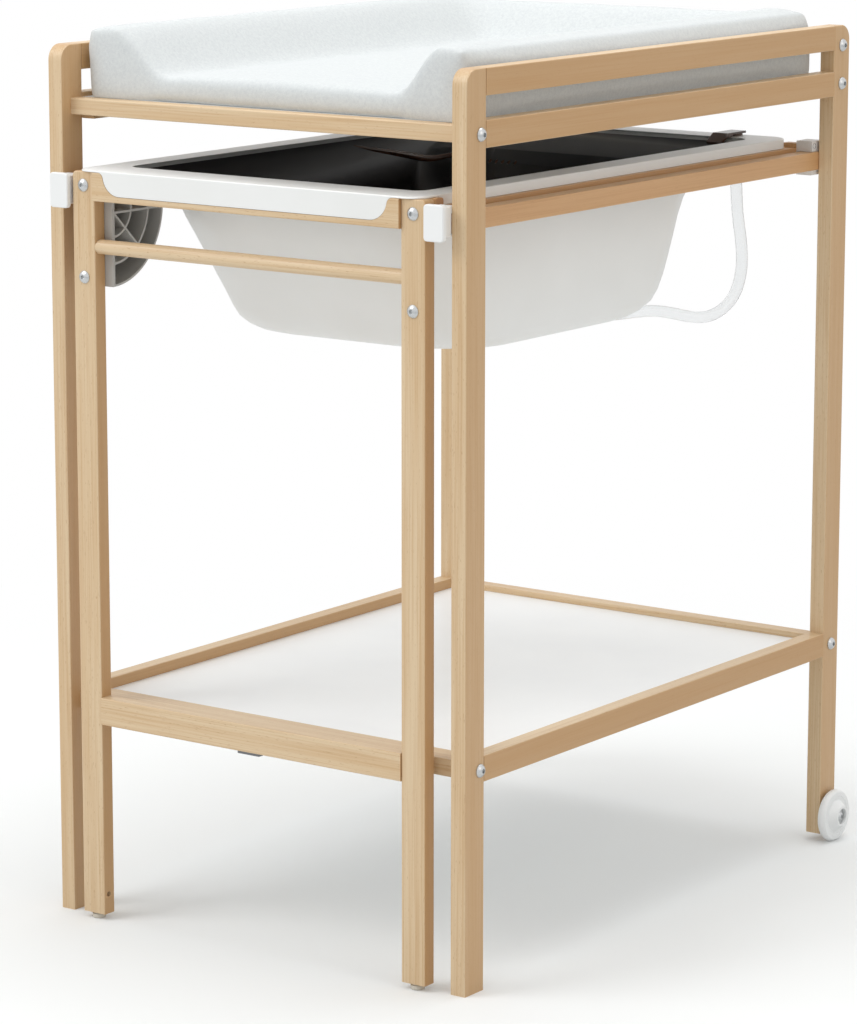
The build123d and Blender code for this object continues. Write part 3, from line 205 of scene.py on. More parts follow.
def merged_copy(
    node: bpy.types.Object, name: str, angle_deg: float, round_mm: float = 0.0
) -> bpy.types.Object:
    """Copy a construction node's mesh, merge its triangles and shade it smooth.

    Args:
        node: Construction node.
        name: Name of the new piece.
        angle_deg: Sharpest edge that is still shaded smooth.
        round_mm: Size of the rounding on every sharp edge, or zero for none.

    Returns:
        The new piece.
    """
    mesh = node.data.copy()
    mesh.name = name
    piece = bpy.data.objects.new(name, mesh)
    bpy.context.scene.collection.objects.link(piece)
    pick_only(piece)
    bpy.ops.object.mode_set(mode="EDIT")
    bpy.ops.mesh.select_all(action="SELECT")
    bpy.ops.mesh.remove_doubles(threshold=MERGE_MM * MM)
    bpy.ops.mesh.normals_make_consistent(inside=False)
    bpy.ops.mesh.dissolve_limited(angle_limit=math.radians(FLAT_DEG))
    bpy.ops.object.mode_set(mode="OBJECT")
    if round_mm:
        edges = piece.modifiers.new("rounded_edges", "BEVEL")
        edges.width = round_mm * MM
        edges.segments = ROUND_SEGMENTS
        edges.limit_method = "ANGLE"
        edges.angle_limit = math.radians(angle_deg)
        bpy.ops.object.modifier_apply(modifier=edges.name)
    bpy.ops.object.shade_smooth_by_angle(angle=math.radians(angle_deg))
    even = piece.modifiers.new("flat_faces_stay_flat", "WEIGHTED_NORMAL")
    even.weight = FACE_WEIGHT
    even.keep_sharp = True
    bpy.ops.object.modifier_apply(modifier=even.name)
    return piece


@dataclass(frozen=True)
class GrainLayer:
    """One layer of a wood's pattern: its real size, its detail and how much of it shows."""

    wide_mm: float
    long_mm: float
    detail: float
    span: tuple[float, float]
    amount: float

    def scale(self, grain: Grain) -> tuple[float, ...]:
        """Work out the scale of the pattern.

        Args:
            grain: Axis that the pattern is long along.

        Returns:
            Scale along each axis, in patterns to the metre.
        """
        scale = [1 / (self.wide_mm * MM)] * 3
        scale[grain.value] = 1 / (self.long_mm * MM)
        return tuple(scale)


@dataclass(frozen=True)
class BeechFinish:
    """Varnished beech, planed and sanded: pale tan, fine pores and short darker ray flecks.

    The flecks are drawn about twice as coarse as real ones, which would be finer than a pixel.
    """

    pale: str = "D9C19E"
    warm: str = "CFB189"
    # Painted shade for faces that look along X, which the light leaves darker and warmer
    brown: str = "BD9363"
    streak: str = "BE9769"
    fleck: str = "A57B50"
    end_grain: str = "B48B5F"
    bands: GrainLayer = GrainLayer(14.0, 420.0, 2.0, (0.36, 0.64), 0.9)
    streaks: GrainLayer = GrainLayer(1.7, 150.0, 3.0, (0.46, 0.74), 0.62)
    flecks: GrainLayer = GrainLayer(0.9, 7.0, 1.0, (0.66, 0.74), 0.45)
    layer_roughness: float = 0.55
    shift_each: tuple[float, float, float] = (0.37, 0.61, 0.83)
    # How much painted shade the faces along X get
    x_face_shade_share: float = 0.6
    end_grain_share: float = 0.45
    facing: tuple[float, float] = (0.6, 0.95)
    roughness: float = 0.46
    pore_strength: float = 0.25
    pore_mm: float = 0.08
    varnish: float = 0.12
    varnish_roughness: float = 0.3
    ior: float = 1.5

    def make(self, name: str, grain: Grain, number: int) -> bpy.types.Material:
        """Make the finish of one wooden piece.

        Args:
            name: Name of the piece.
            grain: Axis that its grain runs along.
            number: Count of the piece, which moves its pattern.

        Returns:
            The material.
        """
        material, tree = new_material(f"varnished_beech_{name}")
        place = add_node(tree, "ShaderNodeTexCoord")
        shift = tuple(step * number for step in self.shift_each)
        patterns = {}
        factors = {}
        layers = {"band": self.bands, "streak": self.streaks, "fleck": self.flecks}
        for key, layer in layers.items():
            mapping = add_node(
                tree,
                "ShaderNodeMapping",
                {"Location": shift, "Scale": layer.scale(grain)},
                {"Vector": place.outputs["Object"]},
            )
            patterns[key] = add_node(
                tree,
                "ShaderNodeTexNoise",
                {"Scale": 1.0, "Detail": layer.detail, "Roughness": self.layer_roughness},
                {"Vector": mapping.outputs["Vector"]},
            ).outputs["Fac"]
            low, high = layer.span
            factors[key] = add_node(
                tree,
                "ShaderNodeMapRange",
                {"From Min": low, "From Max": high, "To Max": layer.amount},
                {"Value": patterns[key]},
            ).outputs["Result"]
        colour = add_node(
            tree,
            "ShaderNodeMix",
            {"data_type": "RGBA", 6: linear(self.pale), 7: linear(self.warm)},
            {0: factors["band"]},
        ).outputs[2]
        for key, shade in (("streak", self.streak), ("fleck", self.fleck)):
            colour = add_node(
                tree,
                "ShaderNodeMix",
                {"data_type": "RGBA", 7: linear(shade)},
                {0: factors[key], 6: colour},
            ).outputs[2]
        # Painted shade: faces that look along X are made browner, as the light leaves them darker
        # and warmer; the end grain's tint is the wood's own
        x_face_shade = (self.brown, self.x_face_shade_share)
        end_cut = (self.end_grain, self.end_grain_share)
        colour = self.with_face(tree, place, Grain.X, x_face_shade, colour)
        colour = self.with_face(tree, place, grain, end_cut, colour)
        pores = add_node(
            tree,
            "ShaderNodeBump",
            {"Strength": self.pore_strength, "Distance": self.pore_mm * MM},
            {"Height": patterns["streak"]},
        )
        return finish_material(
            material,
            {
                "Roughness": self.roughness,
                "IOR": self.ior,
                "Coat Weight": self.varnish,
                "Coat Roughness": self.varnish_roughness,
            },
            {"Base Color": colour, "Normal": pores.outputs["Normal"]},
        )

    def with_face(
        self,
        tree: bpy.types.NodeTree,
        place: bpy.types.Node,
        axis: Grain,
        tint: tuple[str, float],
        colour: bpy.types.NodeSocket,
    ) -> bpy.types.NodeSocket:
        """Tint the faces that look along one axis: the darker end grain, which the wood really
        has, or painted shade on the faces along X, which the light leaves darker and browner.

        Args:
            tree: Node tree of the material.
            place: Texture coordinate node, whose normal is the piece's own.
            axis: Axis that the tinted faces look along.
            tint: Hex colour of the end grain or of the painted shade, and how much of it shows.
            colour: Colour of the other faces.

        Returns:
            Socket with the colour of all faces.
        """
        start, full = self.facing
        parts = add_node(
            tree, "ShaderNodeSeparateXYZ", None, {"Vector": place.outputs["Normal"]}
        )
        size = add_node(
            tree, "ShaderNodeMath", {"operation": "ABSOLUTE"}, {0: parts.outputs[axis.value]}
        )
        facing = add_node(
            tree,
            "ShaderNodeMapRange",
            {"From Min": start, "From Max": full, "To Max": tint[1]},
            {"Value": size.outputs["Value"]},
        )
        mixed = add_node(
            tree,
            "ShaderNodeMix",
            {"data_type": "RGBA", 7: linear(tint[0])},
            {0: facing.outputs["Result"], 6: colour},
        )
        return mixed.outputs[2]


@dataclass(frozen=True)
class MouldedFinish:
    """Injection-moulded plastic with a faint texture left by the mould."""

    name: str
    colour: str
    shade: str
    roughness: float
    grit_mm: float = 0.7
    bump_mm: float = 0.01
    mottle_mm: float = 90.0
    ior: float = 1.49
    coat: float = 0.0
    coat_roughness: float = 0.08
    drift_detail: float = 2.0
    grit_detail: float = 3.0
    gloss_spread: float = 0.15
    bump_strength: float = 0.5

    def make(self) -> bpy.types.Material:
        """Make the material, its colour drifting a little over large areas.

        Returns:
            The material.
        """
        material, tree = new_material(self.name)
        place = add_node(tree, "ShaderNodeTexCoord").outputs["Object"]
        drift = add_node(
            tree,
            "ShaderNodeTexNoise",
            {"Scale": 1 / (self.mottle_mm * MM), "Detail": self.drift_detail},
            {"Vector": place},
        )
        colour = add_node(
            tree,
            "ShaderNodeMix",
            {"data_type": "RGBA", 6: linear(self.colour), 7: linear(self.shade)},
            {0: drift.outputs["Fac"]},
        )
        grit = add_node(
            tree,
            "ShaderNodeTexNoise",
            {"Scale": 1 / (self.grit_mm * MM), "Detail": self.grit_detail},
            {"Vector": place},
        )
        rough = add_node(
            tree,
            "ShaderNodeMapRange",
            {
                "To Min": self.roughness * (1 - self.gloss_spread),
                "To Max": self.roughness * (1 + self.gloss_spread),
            },
            {"Value": grit.outputs["Fac"]},
        )
        bump = add_node(
            tree,
            "ShaderNodeBump",
            {"Strength": self.bump_strength, "Distance": self.bump_mm * MM},
            {"Height": grit.outputs["Fac"]},
        )
        return finish_material(
            material,
            {
                "IOR": self.ior,
                "Coat Weight": self.coat,
                "Coat Roughness": self.coat_roughness,
            },
            {
                "Base Color": colour.outputs[2],
                "Roughness": rough.outputs["Result"],
                "Normal": bump.outputs["Normal"],
            },
        )


@dataclass(frozen=True)
class ZincFinish:
    """Zinc-plated steel, rolled and polished: bright, with fine turning marks."""

    name: str
    colour: str = "C9CBCC"
    roughness: float = 0.27
    mark_mm: float = 0.8
    mark_detail: float = 2.0
    gloss_share: float = 0.7
    dull_share: float = 1.4

    def make(self) -> bpy.types.Material:
        """Make the material.

        Returns:
            The material.
        """
        material, tree = new_material(self.name)
        place = add_node(tree, "ShaderNodeTexCoord").outputs["Object"]
        marks = add_node(
            tree,
            "ShaderNodeTexNoise",
            {"Scale": 1 / (self.mark_mm * MM), "Detail": self.mark_detail},
            {"Vector": place},
        )
        rough = add_node(
            tree,
            "ShaderNodeMapRange",
            {
                "To Min": self.roughness * self.gloss_share,
                "To Max": self.roughness * self.dull_share,
            },
            {"Value": marks.outputs["Fac"]},
        )
        return finish_material(
            material,
            {"Base Color": linear(self.colour), "Metallic": 1.0},
            {"Roughness": rough.outputs["Result"]},
        )


@dataclass(frozen=True)
class JerseyFinish:
    """Knitted cotton jersey in a light grey melange: pale and grey yarns mixed in one thread."""

    pale: str = "D4D8D8"
    grey: str = "C6CACC"
    yarn_mm: float = 1.1
    yarn_detail: float = 4.0
    yarn_roughness: float = 0.7
    cloud_mm: float = 3.6
    cloud_detail: float = 3.0
    cloud_roughness: float = 0.65
    melange_span: tuple[float, float] = (0.82, 1.3)
    knit_mm: float = 1.2
    knit_detail: float = 2.0
    knit_strength: float = 0.5
    knit_depth_mm: float = 0.15
    roughness: float = 0.92
    ior: float = 1.4
    sheen: float = 0.08
    sheen_roughness: float = 0.5

    def make(self) -> bpy.types.Material:
        """Make the material.

        Returns:
            The material.
        """
        material, tree = new_material("cotton_jersey_melange")
        place = add_node(tree, "ShaderNodeTexCoord").outputs["Object"]
        yarn = add_node(
            tree,
            "ShaderNodeTexNoise",
            {
                "Scale": 1 / (self.yarn_mm * MM),
                "Detail": self.yarn_detail,
                "Roughness": self.yarn_roughness,
            },
            {"Vector": place},
        )
        cloud = add_node(
            tree,
            "ShaderNodeTexNoise",
            {
                "Scale": 1 / (self.cloud_mm * MM),
                "Detail": self.cloud_detail,
                "Roughness": self.cloud_roughness,
            },
            {"Vector": place},
        )
        both = add_node(
            tree,
            "ShaderNodeMath",
            {"operation": "ADD"},
            {0: yarn.outputs["Fac"], 1: cloud.outputs["Fac"]},
        )
        amount = add_node(
            tree,
            "ShaderNodeMapRange",
            {"From Min": self.melange_span[0], "From Max": self.melange_span[1]},
            {"Value": both.outputs["Value"]},
        )
        colour = add_node(
            tree,
            "ShaderNodeMix",
            {"data_type": "RGBA", 6: linear(self.pale), 7: linear(self.grey)},
            {0: amount.outputs["Result"]},
        )
        knit = add_node(
            tree,
            "ShaderNodeTexNoise",
            {"Scale": 1 / (self.knit_mm * MM), "Detail": self.knit_detail},
            {"Vector": place},
        )
        bump = add_node(
            tree,
            "ShaderNodeBump",
            {"Strength": self.knit_strength, "Distance": self.knit_depth_mm * MM},
            {"Height": knit.outputs["Fac"]},
        )
        return finish_material(
            material,
            {
                "Roughness": self.roughness,
                "IOR": self.ior,
                "Sheen Weight": self.sheen,
                "Sheen Roughness": self.sheen_roughness,
            },
            {"Base Color": colour.outputs[2], "Normal": bump.outputs["Normal"]},
        )


@dataclass(frozen=True)
class HoseFinish:
    """Milky soft tube, extruded: clear enough to glow at its edges."""

    colour: str = "F6F8F9"
    roughness: float = 0.2
    ior: float = 1.41
    clear_share: float = 0.9
    wave_mm: float = 6.0
    wave_detail: float = 2.0
    wave_strength: float = 0.3
    wave_depth_mm: float = 0.1

    def make(self) -> bpy.types.Material:
        """Make the material.

        Returns:
            The material.
        """
        material, tree = new_material("milky_soft_tube")
        place = add_node(tree, "ShaderNodeTexCoord").outputs["Object"]
        waves = add_node(
            tree,
            "ShaderNodeTexNoise",
            {"Scale": 1 / (self.wave_mm * MM), "Detail": self.wave_detail},
            {"Vector": place},
        )
        bump = add_node(
            tree,
            "ShaderNodeBump",
            {"Strength": self.wave_strength, "Distance": self.wave_depth_mm * MM},
            {"Height": waves.outputs["Fac"]},
        )
        return finish_material(
            material,
            {
                "Base Color": linear(self.colour),
                "Roughness": self.roughness,
                "IOR": self.ior,
                "Transmission Weight": self.clear_share,
            },
            {"Normal": bump.outputs["Normal"]},
        )


@dataclass
class PhotoCamera:
    """Camera at the photograph's viewing angle, solved from the table's straight edges."""

    place_m: tuple[float, float, float] = (2.586, -3.64925, 1.3111)
    pitch_deg: float = 10.7051
    yaw_deg: float = 35.9875
    focal_px: float = 3987.75
    axis_px: tuple[float, float] = (414.116, 477.243)
    photo_px: tuple[int, int] = (857, 1024)
    sensor_mm: float = 36.0
    near_m: float = 0.1
    far_m: float = 60.0

    def build(self) -> None:
        """Make the camera and look through it."""
        wide, tall = self.photo_px
        lens = bpy.data.cameras.new("photo_camera")
        lens.sensor_width = self.sensor_mm
        lens.lens = self.focal_px / tall * self.sensor_mm
        lens.shift_x = (wide / 2 - self.axis_px[0]) / tall
        lens.shift_y = -(tall / 2 - self.axis_px[1]) / tall
        lens.clip_start = self.near_m
        lens.clip_end = self.far_m
        camera = bpy.data.objects.new("photo_camera", lens)
        camera.location = self.place_m
        camera.rotation_euler = (
            math.radians(90 - self.pitch_deg), 0.0, math.radians(self.yaw_deg)
        )
        bpy.context.scene.collection.objects.link(camera)
        bpy.context.scene.camera = camera


@dataclass(frozen=True)
class SoftLamp:
    """Square soft lamp: where it hangs, what it points at, its side, power and colour."""

    name: str
    place_m: tuple[float, float, float]
    target_m: tuple[float, float, float]
    side_m: float
    watts: float
    colour: tuple[float, float, float] = (1.0, 1.0, 1.0)

    def hang(self) -> None:
        """Hang the lamp and point it at its target."""
        light = bpy.data.lights.new(self.name, "AREA")
        light.size = self.side_m
        light.color = self.colour
        light.energy = self.watts
        lamp = bpy.data.objects.new(self.name, light)
        lamp.location = self.place_m
        way = Vector(self.target_m) - Vector(self.place_m)
        lamp.rotation_euler = way.to_track_quat("-Z", "Y").to_euler()
        bpy.context.scene.collection.objects.link(lamp)


@dataclass
class Studio:
    """White studio: a pale floor, an even sky and three soft lamps."""

    floor_half_m: float = 14.0
    floor_colour: str = "E6E8E8"
    sky_strength: float = 0.72
    floor_glow: float = 0.1
    white_from_m: float = 0.6
    white_to_m: float = 1.7
    lamps: tuple[SoftLamp, ...] = (
        SoftLamp("key_lamp", (-2.2, -3.0, 3.6), (0.0, 0.0, 0.6), 2.4, 76.0),
        SoftLamp("side_lamp", (3.6, -0.6, 2.6), (0.0, 0.0, 0.6), 2.2, 12.0, (1.0, 0.9, 0.79)),
        SoftLamp("top_lamp", (0.2, 0.3, 3.6), (0.0, 0.0, 0.8), 2.0, 42.0),
    )

    def build(self) -> None:
        """Build the floor, the sky and the lamps."""
        bpy.context.scene.view_settings.view_transform = "Standard"
        self.build_floor()
        self.build_sky()
        for lamp in self.lamps:
            lamp.hang()

    def build_floor(self) -> None:
        """Lay the floor, which keeps the table's shadow and looks white further out."""
        bpy.ops.mesh.primitive_plane_add(size=2 * self.floor_half_m, location=(0, 0, 0))
        floor = bpy.context.object
        floor.name = "studio_floor"
        material, tree = new_material("white_floor")
        diffuse = add_node(tree, "ShaderNodeBsdfDiffuse", {"Color": linear(self.floor_colour)})
        path = add_node(tree, "ShaderNodeLightPath")
        seen = add_node(
            tree,
            "ShaderNodeMath",
            {"operation": "MAXIMUM"},
            {0: path.outputs["Is Camera Ray"], 1: path.outputs["Is Transmission Ray"]},
        ).outputs["Value"]
        amount = add_node(
            tree,
            "ShaderNodeMath",
            {"operation": "MULTIPLY", 1: self.floor_glow},
            {0: seen},
        )
        glow = add_node(
            tree, "ShaderNodeEmission", None, {"Strength": amount.outputs["Value"]}
        )
        near = add_node(
            tree,
            "ShaderNodeAddShader",
            None,
            {0: diffuse.outputs["BSDF"], 1: glow.outputs["Emission"]},
        )
        place = add_node(tree, "ShaderNodeTexCoord")
        away = add_node(
            tree, "ShaderNodeVectorMath", {"operation": "LENGTH"}, {0: place.outputs["Object"]}
        )
        share = add_node(
            tree,
            "ShaderNodeMapRange",
            {
                "interpolation_type": "SMOOTHSTEP",
                "From Min": self.white_from_m,
                "From Max": self.white_to_m,
            },
            {"Value": away.outputs["Value"]},
        )
        shown = add_node(
            tree,
            "ShaderNodeMath",
            {"operation": "MULTIPLY"},
            {0: share.outputs["Result"], 1: seen},
        )
        white = add_node(tree, "ShaderNodeEmission", {"Strength": 1.0})
        both = add_node(
            tree,
            "ShaderNodeMixShader",
            None,
            {0: shown.outputs["Value"], 1: near.outputs["Shader"], 2: white.outputs["Emission"]},
        )
        add_node(tree, "ShaderNodeOutputMaterial", None, {"Surface": both.outputs["Shader"]})
        dress(floor, material)

    def build_sky(self) -> None:
        """Make an even sky that looks white behind the table."""
        world = bpy.data.worlds.new("studio_sky")
        bpy.context.scene.world = world
        world.use_nodes = True
        tree = world.node_tree
        tree.nodes.clear()
        path = add_node(tree, "ShaderNodeLightPath")
        seen = path.outputs["Is Camera Ray"]
        for other in ("Is Glossy Ray", "Is Transmission Ray"):
            seen = add_node(
                tree, "ShaderNodeMath", {"operation": "MAXIMUM"}, {0: seen, 1: path.outputs[other]}
            ).outputs["Value"]
        strength = add_node(
            tree,
            "ShaderNodeMapRange",
            {"To Min": self.sky_strength, "To Max": 1.0},
            {"Value": seen},
        )
        sky = add_node(
            tree,
            "ShaderNodeBackground",
            {"Color": (1.0, 1.0, 1.0, 1.0)},
            {"Strength": strength.outputs["Result"]},
        )
        add_node(tree, "ShaderNodeOutputWorld", None, {"Surface": sky.outputs["Background"]})


@dataclass
class BeechFrame:
    """Beech pieces of the outer frame and of the bath drawer."""

    upright: tuple[str, ...] = (
        "post_front_left", "post_front_right", "post_rear_left", "post_rear_right",
        "leg_left", "leg_right",
    )
    across: tuple[str, ...] = (
        "mat_front_rail", "rear_rail_upper", "rear_rail_lower", "shelf_front_rail",
        "shelf_rear_rail", "drawer_apron", "drawer_rear_rail", "towel_rod", "leg_stretcher",
    )
    lengthwise: tuple[str, ...] = (
        "side_rail_upper_left", "side_rail_upper_right", "side_rail_lower_left",
        "side_rail_lower_right", "shelf_side_rail_left", "shelf_side_rail_right",
        "guide_rail_left", "guide_rail_right", "drawer_rail_left", "drawer_rail_right",
        "mat_ledge_left", "mat_ledge_right", "side_frame_dowels",
    )
    # Rails in shade under the bath: their warmer, darker beech is painted shade
    rails_in_shade: tuple[str, ...] = (
        "guide_rail_left", "guide_rail_right", "drawer_rail_left", "drawer_rail_right",
    )

    def build(self, nodes: dict[str, bpy.types.Object]) -> None:
        """Varnish every wooden piece, the grain along its length.

        Args:
            nodes: Construction nodes by name.
        """
        post = BeechFinish()
        # Rails and legs: more painted shade on their faces along X
        rail = BeechFinish(brown="B88B57", x_face_shade_share=0.74)
        # Painted shade: warmer, darker beech for the rails in shade under the bath
        shaded_rail_beech = BeechFinish(pale="D8B184", warm="CDA374", brown="BE8E5D", streak="B28352")
        groups = ((Grain.Z, self.upright), (Grain.X, self.across), (Grain.Y, self.lengthwise))
        number = 0
        for grain, names in groups:
            for name in names:
                number += 1
                finish = post if name.startswith("post") else rail
                if name in self.rails_in_shade:
                    finish = shaded_rail_beech
                dress(nodes[name], finish.make(name, grain, number))
                LOG.info("beech piece %s, grain along %s", name, grain.name)


@dataclass
class Fittings:
    """Metal and plastic fittings that are shown as constructed."""

    zinc: tuple[str, ...] = (
        "frame_bolts", "leg_screws", "wheel_washers", "wheel_axles", "barrel_nuts",
        "guide_screws", "slider_screws",
    )
    nylon: tuple[str, ...] = ("drain_fitting", "drain_nut", "wheel_left", "wheel_right")
    caps: tuple[str, ...] = ("guide_cap_left", "guide_cap_right")
    cap_round_mm: float = 1.6
    cap_smooth_deg: float = 30.0

    def build(self, nodes: dict[str, bpy.types.Object]) -> None:
        """Dress the fittings.

        Args:
            nodes: Construction nodes by name.
        """
        zinc = ZincFinish("zinc_plated_steel").make()
        # Nylon from a fine mould: white with a soft, even gloss
        nylon = MouldedFinish("white_moulded_nylon", "F1F2F2", "E8EAEA", 0.42).make()
        # Glass-filled nylon: grey and duller, with its fibres just under the skin
        bracket = MouldedFinish("grey_glass_filled_nylon", "C0BEBA", "A9A7A3", 0.5).make()
        # Melamine-coated board, pressed: cool white with a faint orange peel
        board = MouldedFinish(
            "white_coated_board", "F8FAFA", "F1F3F4", 0.36, grit_mm=1.2, bump_mm=0.02
        ).make()
        # Nylon glides, scuffed by the floor: a dull pale grey-tan
        glide = MouldedFinish("pale_glide_nylon", "D2CCC0", "C6BFB1", 0.6, bump_mm=0.05).make()
        for name in self.zinc:
            dress(nodes[name], zinc)
        for name in self.nylon:
            dress(nodes[name], nylon)
        for name in self.caps:
            cap = merged_copy(
                nodes[name], f"rounded_{name}", self.cap_smooth_deg, self.cap_round_mm
            )
            dress(cap, nylon)
            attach(cap, "frame")
            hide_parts(name)
        dress(nodes["leg_glides"], glide)
        dress(nodes["catch_plate"], ZincFinish("dull_zinc_plate", "7D7E80", 0.5).make())
        dress(nodes["ribbed_bracket"], bracket)
        dress(nodes["shelf_panel"], board)
        dress(nodes["mat_base_panel"], board)
        LOG.info("fittings and boards dressed")


@dataclass
class RearSliders:
    """Moulded pieces that carry the drawer's rear end round the guide rails."""

    round_mm: float = 2.2
    smooth_deg: float = 30.0
    pin_mm: float = 6.4
    pin_sides: int = 32
    pin_wall_mm: float = 0.6
    pin_hollow_mm: float = 1.4
    pin_smooth_deg: float = 40.0
    pin_from_front_mm: float = 4.8
    pin_from_top_mm: float = 5.6
    pin_proud_mm: float = 0.4
    pin_long_mm: float = 3.0

    def build(self, nodes: dict[str, bpy.types.Object]) -> None:
        """Round both sliders and set their pins.

        Args:
            nodes: Construction nodes by name.
        """
        # Nylon rubbed by the guide rail: off-white with a low gloss
        white = MouldedFinish("white_slider_nylon", "E6E5E3", "DAD9D7", 0.4).make()
        # Near-black hollow pin, smooth from its mould: painted shade of the hole in the slider's
        # face
        dark = MouldedFinish("slider_pin_painted_shade", "2A1C16", "1E1410", 0.35, coat=0.2).make()
        for side in ("left", "right"):
            name = f"slider_{side}"
            low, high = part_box(name)
            piece = merged_copy(
                nodes[name], f"rear_slider_{side}", self.smooth_deg, self.round_mm
            )
            dress(piece, white)
            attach(piece, "bath_drawer")
            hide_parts(name)
            self.build_pin(side, low, high, dark)
            LOG.info("slider %s", side)

    def build_pin(self, side: str, low: Vector, high: Vector, finish: bpy.types.Material) -> None:
        """Set the hollow pin in a slider's outer face, coloured near-black as painted shade of the
        hole.

        Args:
            side: Side of the table.
            low: Lowest corner of the slider.
            high: Highest corner of the slider.
            finish: Material of the pin, near-black as painted shade.
        """
        outwards = 1 if side == "right" else -1
        face_x = high.x if side == "right" else low.x
        middle = face_x + outwards * (self.pin_proud_mm - self.pin_long_mm / 2) * MM
        place = (
            middle, low.y + self.pin_from_front_mm * MM, high.z - self.pin_from_top_mm * MM
        )
        bpy.ops.object.select_all(action="DESELECT")
        bpy.ops.mesh.primitive_cylinder_add(
            vertices=self.pin_sides,
            radius=self.pin_mm / 2 * MM,
            depth=self.pin_long_mm * MM,
            location=place,
            rotation=(0.0, math.pi / 2, 0.0),
        )
        pin = bpy.context.object
        pin.name = f"slider_pin_{side}"
        bpy.ops.object.transform_apply(location=True, rotation=True, scale=True)
        bpy.ops.object.mode_set(mode="EDIT")
        bpy.ops.mesh.select_all(action="DESELECT")
        mesh = bmesh.from_edit_mesh(pin.data)
        for face in mesh.faces:
            face.select_set(face.normal.x * outwards > FACES_AXIS)
        bmesh.update_edit_mesh(pin.data)
        bpy.ops.mesh.inset(thickness=self.pin_wall_mm * MM)
        bpy.ops.transform.translate(value=(-outwards * self.pin_hollow_mm * MM, 0.0, 0.0))
        bpy.ops.object.mode_set(mode="OBJECT")
        bpy.ops.object.shade_smooth_by_angle(angle=math.radians(self.pin_smooth_deg))
        dress(pin, finish)
        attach(pin, "bath_drawer")


